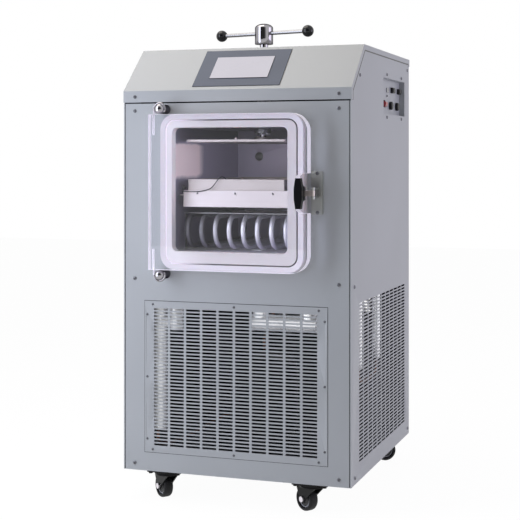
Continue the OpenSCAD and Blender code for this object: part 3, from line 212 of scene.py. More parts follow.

# %% [markdown]
# ## Stainless steel
# The chamber, the shelf and the tray are satin sheet whose rolling left a straight grain, a
# noise stretched forty times. The chamber's walls carry a haze of dried vapour, so they are
# less metallic than the rest. Rails and the press's bar are ground, the latch's bracket is
# cast, and hub and hinge pins are polished. The coil's turns are coloured darker towards
# the left.

# %% Stainless finishes
def stainless(name, code, roughness, grain_mm, stretch, depth_mm, metallic=1.0):
    "Sheet or bar with a straight grain in its relief and its roughness."
    made, tree, shader = start(name, code, roughness, metallic)
    lines = grain(tree, grain_mm, stretch=stretch, Detail=3.0, Roughness=0.6)
    relief(tree, shader, lines, depth_mm, 0.6)
    limits = {"Value": lines, "To Min": roughness - 0.08, "To Max": roughness + 0.1}
    spread = add(tree, "ShaderNodeMapRange", limits)
    tree.links.new(spread.outputs["Result"], shader.inputs["Roughness"])
    return made

ALONG_X, ALONG_Z = (0.025, 1, 1), (1, 1, 0.025)
# Upright grain under a pale haze: soft, slightly violet reflections.
chamber_steel = stainless("satin_stainless_chamber", "#d4cfe0", 0.38, 1.6, ALONG_Z, 0.02, 0.55)
# Grain across the shelf's and the tray's fronts: a warm, silky white.
folded_steel = stainless("brushed_stainless_fold", "#ddd4d4", 0.46, 1.2, ALONG_X, 0.02)
tray_steel = stainless("satin_stainless_tray", "#c9c0bd", 0.46, 1.2, ALONG_X, 0.02)
# Grinding and casting leave darker, plainer greys.
ground_steel = stainless("ground_stainless_bar", "#8f8f92", 0.28, 0.9, (1, 1, 0.03), 0.015)
bracket_steel = stainless("cast_stainless_bracket", "#a9aba8", 0.42, 1.4, (1, 1, 0.2), 0.03)
edge_steel = stainless("bright_rolled_bar", "#e6e2e8", 0.3, 1.2, (0.03, 1, 1), 0.01)
# A mirror whose grazing edges are tinted dark, a painted dark reflection that outlines it against a
# white room.
polished_steel = even("polished_stainless", "#a19fa3", 0.07, 6, 0.01, 0.3, detail=2.0,
                      metallic=1.0, Specular_Tint=colour("#3c383e"))
# Drawn tube: bright at the right, darker at the left.
coil_steel, tree, shader = start("drawn_stainless_tube", "#f2f0f6", 0.5, 0.8)
tint(tree, shader, along(tree, "X", -150, 10), "#85838a", "#f2f0f6")
relief(tree, shader, grain(tree, 3, Detail=2.0), 0.02, 0.4)
print("made", chamber_steel.name, folded_steel.name, ground_steel.name, polished_steel.name)

# %% [markdown]
# ## Zinc, nickel and aluminium
# The pan, posts and rails are zinc plated, with a faint spangle about 9 mm across, and drawn
# nearly black as painted shade for the dark inside. Screws are nickel plated, and the gland's
# bolts are bright zinc, drawn almost white as a painted glint. The condenser's fins are
# rolled aluminium, drawn nearly black as painted shade, with a little dust.

# %% Plated metals
# Zinc drawn black as painted shade: a dark sheen broken up by its crystals.
zinc, tree, shader = start("zinc_in_painted_shade", "#26272a", 0.5, 0.7)
tint(tree, shader, grain(tree, 9, "ShaderNodeTexVoronoi"), "#202124", "#2c2d31")
# Nickel: mid grey dots with a soft glint. Bright zinc: almost white, partly a painted glint.
nickel = even("nickel_plated_screw", "#77787d", 0.34, 1.5, 0.03, 0.4, detail=2.0, metallic=0.85)
bright_zinc = even("zinc_bolt_painted_glint", "#f2f0f4", 0.35, 2, 0.03, 0.4, detail=2.0, metallic=0.3)
# Fins: nearly black as painted shade, dusty in patches 30 mm wide.
fin_metal, tree, shader = start("aluminium_fin_in_painted_shade", "#2f3032", 0.55, 0.4)
tint(tree, shader, grain(tree, 30, Detail=3.0), "#28292b", "#3b3b3c")
print("made", zinc.name, nickel.name, bright_zinc.name, fin_metal.name)

# %% [markdown]
# ## Foil and copper
# The cold pipes are wrapped in aluminium tape, which creases as it goes round. Its large
# folds are in the mesh and the small creases, 5 mm apart, are relief. Copper tube dulls
# unevenly as it ages in the machine's warm air.

# %% Foil and copper
foil, tree, shader = start("creased_aluminium_tape", "#fbfcff", 0.3, 0.4)
relief(tree, shader, grain(tree, 5, "ShaderNodeTexVoronoi"), 0.6, 0.7)
copper, tree, shader = start("drawn_copper_tube", "#7d5443", 0.42, 1.0)
tint(tree, shader, grain(tree, 22, Detail=4.0), "#5b3d31", "#8a5f4b")
print("made", foil.name, copper.name)

# %% [markdown]
# ## Clear acrylic
# The door is a 29 mm slab of cast acrylic with sawn and lightly polished edges. The faces
# are clear, so shadow rays pass through them and the chamber stays lit. The edges scatter
# light and look milky, so they let little of it through, and they glow faintly: painted
# light that stands for the room's light which a clear slab pipes to its rim.

# %% Acrylic
clear_acrylic, tree, shader = start("cast_acrylic_face", "#f7f8fc", 0.0, IOR=1.49,
                                    Transmission_Weight=1.0)
relief(tree, shader, grain(tree, 90, Detail=1.0), 0.02, 0.2)
rays = add(tree, "ShaderNodeLightPath")
passed = add(tree, "ShaderNodeBsdfTransparent", {"Color": colour("#e4e5e8")})
mix = add(tree, "ShaderNodeMixShader", {0: rays.outputs["Is Shadow Ray"], 1: shader.outputs["BSDF"],
                                        2: passed.outputs["BSDF"]})
tree.links.new(mix.outputs["Shader"], tree.nodes["Material Output"].inputs["Surface"])
# The sawn edges' faint emission is painted light.
sawn_acrylic, tree, shader = start("cast_acrylic_sawn_edge", "#f6f3fb", 0.4, IOR=1.49,
                                   Transmission_Weight=0.15, Emission_Strength=0.3,
                                   Emission_Color=colour("#f4f1ff"))
relief(tree, shader, grain(tree, 1.2, stretch=(1, 0.1, 1), Detail=2.0), 0.05, 0.5)
drilled_acrylic = even("frosted_drill_hole", "#f6f4fc", 0.6, 1, 0.05, 0.5, detail=2.0, IOR=1.49)
print("made", clear_acrylic.name, sawn_acrylic.name, drilled_acrylic.name)

# %% [markdown]
# ## Silicone
# The gasket is moulded white silicone, soft and slightly see-through, so light spreads
# a little under its skin. Its inner bead is painted a little darker towards the right, and
# its groove is painted dark mauve, more on the right: both are painted shade. On the left
# the groove glows, painted light for what the clear door leads into it.

# %% Silicone
SOFT = {"IOR": 1.41, "Subsurface_Weight": 0.1, "Subsurface_Scale": 0.003}
silicone = even("moulded_white_silicone", "#e2dbdf", 0.5, 2, 0.04, 0.4, detail=2.0, **SOFT)
# The bead's colour gets darker towards the right: painted shade.
bead_skin, tree, shader = start("silicone_bead_painted_shade", "#d6cecf", 0.5, **SOFT)
tint(tree, shader, along(tree, "X", -190, 0), "#e6dfe0", "#d6cecf")
# The groove's dark mauve is painted shade, lighter towards the left.
groove_skin, tree, shader = start("silicone_groove_painted_shade", "#6f656c", 0.7, IOR=1.41,
                                  Emission_Color=colour("#e8e2ee"))
tint(tree, shader, along(tree, "X", -190, 20), "#d8d2d8", "#6f656c")
relief(tree, shader, grain(tree, 2, Detail=2.0), 0.04, 0.4)
# The groove's emission on the left is painted light.
glow = reckon(tree, "MULTIPLY", along(tree, "X", -40, -200), 0.55)
tree.links.new(glow, shader.inputs["Emission Strength"])
print("made", silicone.name, bead_skin.name, groove_skin.name)

# %% [markdown]
# ## Plastics, rubber and foam
# Knobs are pressed phenolic, buffed to a gloss. Sockets, the fan and the wheels' cores are
# moulded nylon with a fine spark texture, which spreads their highlights. The tyres are
# grey-black rubber that dust has dulled in patches, and the chamber's insulation is foam
# that was sprayed on and set in lumps 11 mm wide.

# %% Plastics, rubber and foam
# Phenolic: a hard, deep gloss. Nylon: dull black. Polycarbonate: a clean, lit red.
phenolic = even("gloss_black_phenolic", "#18181b", 0.1, 14, 0.03, 0.3, Specular_IOR_Level=0.35)
moulded_black = even("moulded_black_nylon", "#101113", 0.42, 0.9, 0.05, 0.5, Specular_IOR_Level=0.3)
moulded_red = even("moulded_red_polycarbonate", "#b03a40", 0.28, 0.9, 0.02, 0.4, IOR=1.58)
core_nylon = even("moulded_dark_nylon", "#1d1e22", 0.4, 1, 0.03, 0.5, IOR=1.53)
ring_nylon = even("worn_grey_nylon", "#a9abb2", 0.45, 1, 0.03, 0.5, IOR=1.53)
lead_jacket = even("extruded_black_pvc", "#1c1c1f", 0.35, 1.4, 0.03, 0.4, IOR=1.54)
tyre_rubber, tree, shader = start("dusty_black_rubber", "#131315", 0.6, Specular_IOR_Level=0.3)
tint(tree, shader, grain(tree, 12, Detail=4.0), "#0e0e10", "#1b1b1e")
# The foam's near-black colour is painted shade for the hollow behind the grilles.
foam_skin, tree, shader = start("sprayed_polyurethane_foam", "#1d1c1b", 0.9, IOR=1.45)
relief(tree, shader, grain(tree, 11, "ShaderNodeTexVoronoi"), 1.5, 0.7)
print("made", phenolic.name, moulded_black.name, tyre_rubber.name, foam_skin.name)

# %% [markdown]
# ## Enamel, film and screen
# The compressor and the casters' forks are dipped in black enamel, which is glossy but not
# quite flat. The operator panel has a polyester film, printed blue-grey on its back, and a
# lit screen whose backlight is a little uneven.

# %% Enamel, film and screen
enamel = even("dipped_black_enamel", "#0a0b0d", 0.34, 7, 0.08, 0.4, 2.0, Specular_IOR_Level=0.2)
film, tree, shader = start("printed_polyester_film", "#575f70", 0.4, Specular_IOR_Level=0.2)
relief(tree, shader, grain(tree, 1.1, Detail=1.0), 0.02, 0.4)
tint(tree, shader, grain(tree, 120, Detail=1.0), "#545c6d", "#5a6273")
screen_light, tree, shader = start("backlit_screen", "#2a2930", 0.25, Emission_Strength=0.6)
tint(tree, shader, grain(tree, 95, Detail=1.0), "#c6c4d5", "#d1cfe0", "Emission Color", (0, 1))
print("made", enamel.name, film.name, screen_light.name)

# %% [markdown]
# ## Small helpers for pieces
# A piece is shaped as a bmesh and finished once: it gets its materials, smooth shading that
# breaks at sharp edges, the body it moves with and the solids that it stands for. Where a
# piece has two finishes, a test on its faces tells them apart.

# %% Piece helpers
def mesh_of(name, form):
    "A mesh made from a form, which is freed."
    mesh = bpy.data.meshes.new(name)
    form.to_mesh(mesh)
    form.free()
    return mesh

def piece(name, form, finishes, stands_for=(), slot=None, body="cabinet", sharp=35, weighted=False):
    "Makes an object of a finished form; most pieces ride on the cabinet."
    mesh = mesh_of(name, form)
    for finish in finishes:
        mesh.materials.append(finish)
    mesh.polygons.foreach_set("use_smooth", [True] * len(mesh.polygons))
    mesh.set_sharp_from_angle(angle=radians(sharp))
    made = put(name, mesh)
    if weighted:
        made.modifiers.new("even_shading", "WEIGHTED_NORMAL").keep_sharp = True
    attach(made, body)
    if stands_for:
        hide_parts(*stands_for)
    return made

def mark(form, test, index=1):
    "Gives the faces that pass a test another of the piece's finishes."
    for face in form.faces:
        if test(face):
            face.material_index = index
    return form

def tell(*made):
    "Prints new pieces with their numbers of faces."
    for one in made:
        print(one.name, len(one.data.polygons), "faces")

print("piece helpers ready")

# %% [markdown]
# ## From solid to form
# Sheet and cast parts start as a copy of the solid. Its loose triangles are merged first,
# and flat sides become one face each, because a bevel only follows real edges. Strips and
# bolt heads are drawn flat and extruded.

# %% Copy, round and extrude
def copy_of(node, flat=True):
    "A CAD node's faces, merged and, if flat, with one face for each flat side, in a bmesh."
    form = bmesh.new()
    form.from_mesh(nodes[node].data)
    bmesh.ops.remove_doubles(form, verts=form.verts, dist=0.01 * MM)
    if flat:
        bmesh.ops.dissolve_limit(form, angle_limit=radians(0.5), verts=form.verts, edges=form.edges)
    return mark(form, lambda face: True, 0)

def soften(form, width_mm, segments=2, pick=None):
    "Rounds the edges of a form that bend by more than 35 degrees."
    edges = [e for e in form.edges if len(e.link_faces) == 2
             and e.calc_face_angle(0) > radians(35) and (pick is None or pick(e))]
    bmesh.ops.bevel(form, geom=edges, offset=width_mm * MM, segments=segments, profile=0.5,
                    affect="EDGES", clamp_overlap=True, material=-1)
    return form

def grow(form, faces, step_mm):
    "Extrudes faces by a step in millimetres."
    grown = bmesh.ops.extrude_face_region(form, geom=faces)["geom"]
    moved = [v for v in grown if isinstance(v, bmesh.types.BMVert)]
    bmesh.ops.translate(form, vec=Vector(step_mm) * MM, verts=moved)

def outward(form):
    "Turns all faces of a closed form outwards."
    bmesh.ops.recalc_face_normals(form, faces=form.faces)
    return form

def join(forms):
    "Puts several forms into one."
    whole = bmesh.new()
    for part in forms:
        carrier = mesh_of("carrier", part)
        whole.from_mesh(carrier)
        bpy.data.meshes.remove(carrier)
    return whole

print("ready to copy, round and extrude")

# %% [markdown]
# ## Round and bent forms
# Round parts are spun from half an outline. A bent tube is a curve with a thickness, which
# keeps its width in every bend, and a smooth line through a few points gives a lead its
# sag.

# %% Spin, tube and line
def spun(outline, place=None, steps=64, closed=False):
    "Spins (radius, height) points in millimetres about Z, then moves them by a matrix."
    form = bmesh.new()
    verts = [form.verts.new((r * MM, 0, h * MM)) for r, h in outline]
    edges = [form.edges.new(pair) for pair in zip(verts, verts[1:])]
    if closed:
        edges.append(form.edges.new((verts[-1], verts[0])))
    bmesh.ops.spin(form, geom=verts + edges, cent=(0, 0, 0), axis=(0, 0, 1), angle=2 * pi,
                   steps=steps, use_merge=True, use_duplicate=False)
    bmesh.ops.remove_doubles(form, verts=form.verts, dist=0.001 * MM)
    outward(form)
    if place is not None:
        bmesh.ops.transform(form, matrix=place, verts=form.verts)
    return form

def facing(middle, direction):
    "A matrix that takes the origin to a point and turns Z to a direction."
    return Matrix.Translation(middle) @ direction.to_track_quat("Z", "Y").to_matrix().to_4x4()

def pipe(points, diameter_mm):
    "A round tube with closed ends along points in metres, made from a curve."
    curve = bpy.data.curves.new("route", "CURVE")
    curve.dimensions = "3D"
    curve.bevel_depth, curve.bevel_resolution = diameter_mm / 2 * MM, 6
    curve.use_fill_caps = True
    line = curve.splines.new("POLY")
    line.points.add(len(points) - 1)
    for spot, p in zip(line.points, points):
        spot.co = (*p, 1)
    holder = bpy.data.objects.new("route", curve)
    mesh = bpy.data.meshes.new_from_object(holder)
    form = bmesh.new()
    form.from_mesh(mesh)
    bmesh.ops.remove_doubles(form, verts=form.verts, dist=0.01 * MM)
    outward(form)
    bpy.data.objects.remove(holder)
    bpy.data.meshes.remove(mesh)
    return form

def through(points, steps):
    "A smooth line through millimetre points, as frame points in metres."
    line = []
    for i in range(len(points) - 1):
        around = [min(max(k, 0), len(points) - 1) for k in (i - 1, i, i + 1, i + 2)]
        a, b, c, d = (Vector(points[k]) for k in around)
        for s in range(steps):
            t = s / steps
            line.append(0.5 * (2 * b + (c - a) * t + (2 * a - 5 * b + 4 * c - d) * t * t
                               + (3 * b - a - 3 * c + d) * t * t * t))
    return [at(*p) for p in (*line, Vector(points[-1]))]

print("ready to spin and bend")

# %% [markdown]
# ## Probe lead
# A thin black lead brings the product's temperature out. It leaves the gland in the left
# wall, lies along the shelf's edge, climbs over the tray's rim and ends in a steel tip.

# %% Probe lead
LEAD_D = 2.4
LEAD = [[-146.5, 48, 716], [-143, 46.5, 716], [-141, 38, 715], [-140.5, 26, 711],
        [-139.5, 16.5, 708], [-134, 12, 707], [-116, 12, 706.7], [-97, 12, 707.2],
        [-78, 12.3, 710], [-62, 13, 716], [-52, 14, 727], [-45, 16, 737], [-39, 20, 743],
        [-34, 28, 743], [-29, 38, 735], [-25, 52, 722], [-22, 70, 715], [-20, 90, 713.8]]
lead_line = through(LEAD, 6)
lead = piece("temperature_lead", pipe(lead_line, LEAD_D), [lead_jacket], ["probe_lead"], "cable")

TIP = [(0, 0), (1.6, 0), (2, 0.5), (2, 43), (1.6, 44.4), (0, 45)]
towards_back = Matrix.Rotation(radians(-90), 4, "X")
tip = piece("temperature_tip", spun(TIP, Matrix.Translation(lead_line[-1]) @ towards_back, 24),
            [polished_steel], ["probe_tip"], "stainless")

# %% [markdown]
# ## Finishes on the solids that stay
# The hidden metalwork has the right shape already. It keeps its solids and only changes
# material, one finish for each way of making, each dark as painted shade for the hollow inside.

# %% Finish the kept solids
KEPT = {zinc: ["chamber_rails", "corner_posts", "base_pan"],
        fin_metal: ["condenser"], foam_skin: ["chamber_foam"]}
for finish, names in KEPT.items():
    for name in names:
        for place in nodes[name].material_slots:
            place.material = finish
    print(finish.name, "on", ", ".join(names))

# %% [markdown]
# ## Lined sheets
# The dark lining on the sheets' inner sides is painted shade that keeps the slots dark. The
# punched sheets have far too many edges to round, so a copy of each only gets a second
# finish on the faces that look inwards.

# %% Slotted sheets
def lined(form, inward):
    "Gives the faces that look inwards the second finish."
    return mark(form, lambda face: face.normal.dot(Vector(inward)) > 0.9)

INWARD = {"front_grille": (0, 1, 0), "left_panel": (1, 0, 0),
          "right_panel": (-1, 0, 0), "rear_panel": (0, -1, 0)}
for node, inward in INWARD.items():
    form = lined(copy_of(node, flat=False), inward)
    tell(piece(node + "_lined", form, [powder, shade_lining], [node], "coat", sharp=30))

# %% [markdown]
# ## Rounded sheet, bar and moulded parts
# Folded sheet has a bend radius near 1 mm, ground bar a 0.5 mm chamfer and a moulding a
# radius that its tool needs. Those narrow curves catch the light as thin bright lines, and
# without them metal looks like card. Each solid below is copied, merged and rounded.

# %% Round the edges
# Solid, finish, width of the rounding in millimetres, and the body where it isn't the cabinet.
ROUNDED = [
    ("console_cover", powder, 0.9), ("recess_box", powder, 0.6), ("relay_plug", ground_steel, 0.6),
    ("heated_shelf", folded_steel, 0.6), ("product_tray", tray_steel, 0.5),
    ("shelf_cleats", folded_steel, 0.5), ("probe_gland", ground_steel, 0.5),
    ("coil_rails", ground_steel, 0.3), ("press_plate", tray_steel, 0.8, "press"),
    ("press_spindle", polished_steel, 0.4, "press"), ("spindle_gland", ground_steel, 0.5),
    ("latch_bracket", bracket_steel, 0.5), ("latch_arm", tray_steel, 0.8, "swing_arm"),
    ("latch_knob", phenolic, 2.6, "wing_knob"), ("power_rocker", moulded_red, 0.6, "rocker"),
    ("data_sockets", moulded_black, 0.8), ("round_sockets", moulded_black, 0.8),
    ("caster_plates", enamel, 0.6), ("fan_shroud", enamel, 0.8), ("fan_motor", enamel, 2.0),
    ("fan_blade", moulded_black, 0.6, "fan"), ("compressor", enamel, 3.0),
    ("vacuum_port", ground_steel, 0.6),
]
SLOT_OF = {powder: "coat", enamel: "black_steel", phenolic: "black_plastic",
           moulded_black: "black_plastic", moulded_red: "red_plastic"}
for node, finish, width, *body in ROUNDED:
    form, slot = soften(copy_of(node), width), SLOT_OF.get(finish, "stainless")
    tell(piece(node + "_rounded", form, [finish], [node], slot, *body, weighted=True))

# %% [markdown]
# ## Seam shadow strips
# Thin black strips sit in the seams where one sheet lies on another: under the side lips of
# the console's cover and round the front grille. They are painted shade, dark lines for the gaps.

# %% Seam shadow strips
LIP_EDGE = [(13, 931), (13, 955.3), (129, 1061), (634, 1061)]
LIP_INNER = [(19.5, 931), (19.5, 952.4), (135.4, 1058), (634, 1058)]
LIP_X, LIP_SHADE_T = 298.4, 0.8
GRILLE_X, GRILLE_LOW, GRILLE_HIGH = 240, 48, 430
GRILLE_SHADE_W, GRILLE_SHADE_Y, GRILLE_SHADE_T = 1.3, -0.2, 0.3

form = bmesh.new()
for side in (-1, 1):
    outer, inner = ([form.verts.new(at(side * LIP_X, y, z)) for y, z in row]
                    for row in (LIP_EDGE, LIP_INNER))
    strip = [form.faces.new((outer[i], outer[i + 1], inner[i + 1], inner[i])) for i in range(3)]
    grow(form, strip, (side * LIP_SHADE_T, 0, 0))

def grille_corners(form, out):
    "The four corners of the grille, moved outwards."
    low, high = GRILLE_LOW - out, GRILLE_HIGH + out
    return [form.verts.new(at(x * (GRILLE_X + out), GRILLE_SHADE_Y, z))
            for x, z in ((-1, low), (1, low), (1, high), (-1, high))]

outer, inner = grille_corners(form, GRILLE_SHADE_W), grille_corners(form, 0)
ring = [form.faces.new((outer[i], outer[i - 1], inner[i - 1], inner[i])) for i in range(4)]
grow(form, ring, (0, GRILLE_SHADE_T, 0))
tell(piece("seam_shadow_strips", outward(form), [lead_jacket], slot="black_plastic"))

# %% [markdown]
# ## Front panel
# The front panel is one folded sheet that frames the chamber's mouth and the grille. It has
# few edges, so it can be both rounded and lined with the painted shade.

# %% Front panel
form = lined(soften(copy_of("front_panel"), 0.8), (0, 1, 0))
tell(piece("front_panel_lined", form, [powder, shade_lining], ["front_panel"], "coat", weighted=True))

# %% [markdown]
# ## Chamber
# The chamber is a welded box of satin stainless sheet. Only its mouth's inner edge is
# rounded, where the sheet turns outwards into the flange under the gasket. The left wall has
# a light patch near the mouth, which is painted light. Three fades and faint streaks of
# noise bound it.

# %% Chamber
# A painted light patch: pale pink in the middle, dark violet round it.
painted_light_wall, tree, shader = start("stainless_wall_painted_light", "#d9c9d0", 0.45, 0.35)
patch_edge_noise = grain(tree, 14, stretch=(1, 1, 0.08), Detail=2.0)
limits = {"Value": patch_edge_noise, "From Min": 0.3, "From Max": 0.7, "To Min": 0.75, "To Max": 1.0}
patch = add(tree, "ShaderNodeMapRange", limits).outputs["Result"]
for axis, first, last in (("Y", 222, 140), ("Z", 834, 822), ("Z", 728, 752)):
    fade = along(tree, axis, first, last)
    patch = reckon(tree, "MULTIPLY", patch, fade)
tint(tree, shader, patch, "#8f8a9c", "#ffecec")
form = mark(soften(copy_of("chamber_shell"), 0.8),
            lambda face: face.normal.x > 0.95 and face.calc_center_median().x < 0)
tell(piece("chamber_box", form, [chamber_steel, painted_light_wall], ["chamber_shell"], "stainless",
           sharp=20))

# %% [markdown]
# ## Gasket
# The gasket is one moulded ring, pressed flat by the door. Its two sealing beads have
# rounded shoulders on each side of a groove, and the groove stays dark as little light gets
# in. Faces at the groove's depth get its finish of painted shade, and faces inside the
# groove's middle line belong to the inner bead, which is painted darker towards the right.

# %% Gasket
low, high = box_mm("door_gasket")
GROOVE_IN, GROOVE_R = 39, 23.5
groove_front, groove_back = (at(0, low.y + depth, 0).y for depth in (3.5, 9.5))

def inner_bead(spot):
    "Whether a point lies inside the middle line of the groove, a rounded rectangle."
    out_x = max(low.x + GROOVE_IN - spot.x / MM, spot.x / MM - high.x + GROOVE_IN, 0)
    under, over = (at(0, 0, z).z for z in (low.z + GROOVE_IN, high.z - GROOVE_IN))
    return hypot(out_x, max(under - spot.z, spot.z - over, 0) / MM) < GROOVE_R

form = soften(copy_of("door_gasket"), 3.0, 5)
mark(form, lambda face: all(inner_bead(v.co) for v in face.verts), 2)
mark(form, lambda face: groove_front < face.calc_center_median().y < groove_back)
tell(piece("silicone_gasket", form, [silicone, groove_skin, bead_skin], ["door_gasket"],
           "silicone", weighted=True))

# %% [markdown]
# ## Door
# The acrylic slab keeps its size. Its edges are chamfered by 1.2 mm, and every face that
# isn't the clear front or back gets the sawn finish. The pins are glued into drilled holes,
# whose rough walls hide the steel behind a white frost.

# %% Door
form = mark(soften(copy_of("door_slab"), 1.2, 1), lambda face: abs(face.normal.y) < 0.9)
door = piece("acrylic_door", form, [clear_acrylic, sawn_acrylic], ["door_slab"], "acrylic", "door",
             sharp=25)

form = soften(copy_of("hinge_posts"), 0.4, pick=lambda edge: edge.calc_length() < 3 * MM)
posts = piece("hinge_posts_polished", form, [polished_steel], ["hinge_posts"], "stainless",
              weighted=True)
slab_low, slab_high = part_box("door_slab")
form = mark(copy_of("hinge_pins"),
            lambda face: slab_low.z + MM < face.calc_center_median().z < slab_high.z - MM)
pins = piece("hinge_pins_polished", form, [polished_steel, drilled_acrylic], ["hinge_pins"],
             "stainless", "door", sharp=50)
tell(door, posts, pins)

# %% [markdown]
# ## Evaporator coil
# One long tube is wound into a flattened helix: a half circle at the front, a straight run,
# a half circle at the back. The half circles lean by an eighth of a pitch and the straight
# runs take the rest. The middle line is worked out turn by turn and given a thickness with a
# curve.

# %% Evaporator coil
low, high = box_mm("evaporator_coil")
TURNS, PITCH, TUBE, RUN = 8, 37.0, 12.0, 300.0
LEAN, SHIFT, STEPS = 0.12, 0.135, 16
BEND = (high.z - low.z - TUBE) / 2
middle = Vector((0, low.y + TUBE / 2 + BEND + RUN / 2, (low.z + high.z) / 2))
ends_x = (TURNS / 2 - 0.25) * PITCH

def half_bend(turn, end):
    "Half a circle at the front (end 1) or the back (end -1), a quarter pitch along."
    points = []
    for k in range(STEPS + 1):
        angle = radians(end * 90 + 180 * k / STEPS)
        turned = turn - TURNS / 2 + 0.5 - end * 0.25 + SHIFT + LEAN * k / STEPS
        points.append(at(turned * PITCH, middle.y - end * RUN / 2 + BEND * cos(angle),
                         middle.z + BEND * sin(angle)))
    return points

coil_line = [at(-ends_x, high.y, middle.z + BEND)]
for turn in range(TURNS):
    coil_line += half_bend(turn, 1) + (half_bend(turn, -1) if turn < TURNS - 1 else [])
coil_line.append(at(ends_x, high.y, middle.z - BEND))
tell(piece("wound_coil", pipe(coil_line, TUBE), [coil_steel], ["evaporator_coil"], "stainless",
           sharp=60))

# %% [markdown]
# ## Press handle
# The handle is a T: a domed, polished hub, a ground bar through it and two black balls. The
# hub and the balls are spun from their outlines, with far more steps than the solids have,
# because a polished curve shows every facet.

# %% Hub and bar
hub_low, hub_high = box_mm("handle_hub")
hub_r, press_y = (hub_high.x - hub_low.x) / 2, (hub_low.y + hub_high.y) / 2
stem_z, top_z = hub_low.z, hub_high.z
HUB_H, DOME_H, COLLAR_W, COLLAR_H, BORE_R, STEM_R = 55, 12, 2.5, 12, 8.1, 11.0
foot_z, collar_z = top_z - HUB_H, stem_z + COLLAR_H
dome = [(hub_r * cos(radians(a)), top_z - DOME_H + DOME_H * sin(radians(a)))
        for a in range(0, 90, 6)]
outline = [(BORE_R, stem_z), (STEM_R + COLLAR_W, stem_z), (STEM_R + COLLAR_W, collar_z),
           (STEM_R, collar_z), (STEM_R, foot_z), (hub_r - 1.5, foot_z),
           (hub_r - 0.4, foot_z + 0.5), (hub_r, foot_z + 1.6),
           *dome, (0, top_z), (0, foot_z + 6), (BORE_R, foot_z + 6)]
hub = piece("polished_hub", spun(outline, Matrix.Translation(at(0, press_y, 0)), 96),
            [polished_steel], ["handle_hub"], "stainless", "handle", sharp=40)
bar = piece("ground_bar", soften(copy_of("handle_bar"), 0.6), [ground_steel], ["handle_bar"],
            "stainless", "handle", weighted=True)
tell(hub, bar)

# %% [markdown]
# ## Ball knobs
# A ball knob is turned from its top round to a flat, which has the hole for the bar. Both
# balls are spun from one outline and set on the ends of the bar, which rests at a slant.

# %% Ball knobs
ball_low, ball_high = box_mm("ball_knobs")
BALL_R, NECK_R, BAR_R, BAR_SLANT = 15.5, 6.8, 5.1, -13
bar_z = (ball_low.z + ball_high.z) / 2
span = hypot(ball_high.x - ball_low.x - 2 * BALL_R, ball_high.y - ball_low.y - 2 * BALL_R)
flat_z = -sqrt(BALL_R ** 2 - NECK_R ** 2)
outline = [(0, BALL_R)] + [(BALL_R * sin(radians(a)), BALL_R * cos(radians(a)))
                           for a in range(5, 150, 5)]
outline += [(NECK_R + 0.4, flat_z + 0.1), (NECK_R - 0.3, flat_z + 0.2), (BAR_R, flat_z + 0.2),
            (BAR_R, -1)]
bar_place = Matrix.Translation(at(0, press_y, bar_z)) @ Matrix.Rotation(radians(BAR_SLANT), 4, "Z")
balls = [spun(outline, bar_place @ Matrix.Translation((side * span / 2 * MM, 0, 0))
              @ Matrix.Rotation(radians(side * 90), 4, "Y")) for side in (-1, 1)]
tell(piece("phenolic_balls", join(balls), [phenolic], ["ball_knobs"], "black_plastic", "handle",
           sharp=50))

# %% [markdown]
# ## A screw head
# Pan-head screws with a cross recess hold every panel. One head is built by bridging rings
# into a dome whose inner edge is a cross, which is then sunk.

# %% Screw head
def cross_ring(form, arm, half, height):
    "A cross of twelve points at a height, as a loop of edges."
    corners = [(arm, -half), (arm, half), (half, half)]
    points = []
    for quarter in range(4):
        turn = Matrix.Rotation(radians(90 * quarter), 2)
        points += [form.verts.new((*(turn @ Vector(c) * MM), height * MM)) for c in corners]
    return [form.edges.new((points[i], points[(i + 1) % 12])) for i in range(12)]

def pan_head(radius, height):
    "A pan head that stands on Z = 0."
    form = bmesh.new()
    loops = []
    for share, lift in ((1.0, 0.0), (1.0, 0.42), (0.93, 0.68), (0.78, 0.88)):
        ring = bmesh.ops.create_circle(
            form, cap_ends=not loops, radius=radius * share * MM, segments=24,
            matrix=Matrix.Translation((0, 0, height * lift * MM)))["verts"]
        loops.append([e for e in form.edges if e.verts[0] in ring and e.verts[1] in ring])
    loops.append(cross_ring(form, radius * 0.62, radius * 0.17, height))
    loops.append(cross_ring(form, radius * 0.34, radius * 0.10, height * 0.15))
    for a, b in zip(loops, loops[1:]):
        bmesh.ops.bridge_loops(form, edges=a + b)
    bmesh.ops.contextual_create(form, geom=loops[-1])
    return outward(form)

print("screw head ready")

# %% [markdown]
# ## Setting the screws
# A head is set on each screw of the solids. The longest edge of a screw lies along its
# shank, and the wide end is the head, which tells which way it looks. Every screw is turned
# by another angle, as a hand leaves it.

# %% Set the screws
def islands(form):
    "The separate pieces of a form, as lists of vertices."
    seen, found = set(), []
    for first in form.verts:
        group, edge = [], [first]
        while edge:
            vert = edge.pop()
            if vert not in seen:
                seen.add(vert)
                group.append(vert)
                edge += [e.other_vert(vert) for e in vert.link_edges]
        if group:
            found.append(group)
    return found

def mean(points):
    "The middle of some points."
    return sum(points, Vector()) / len(points)

def screw_place(group, height):
    "Where the head of one screw goes, as a matrix."
    longest = max((e for v in group for e in v.link_edges), key=lambda e: e.calc_length())
    axis = (longest.verts[1].co - longest.verts[0].co).normalized()
    middle = mean([v.co for v in group])
    wide = {v: (v.co - middle - axis * (v.co - middle).dot(axis)).length for v in group}
    rim = 0.8 * max(wide.values())
    head, shank = ([v.co for v in group if (wide[v] > rim) == outer] for outer in (True, False))
    if (mean(head) - mean(shank)).dot(axis) < 0:
        axis.negate()
    seat = middle + axis * (max((v.co - middle).dot(axis) for v in group) - height * MM)
    return facing(seat, axis)

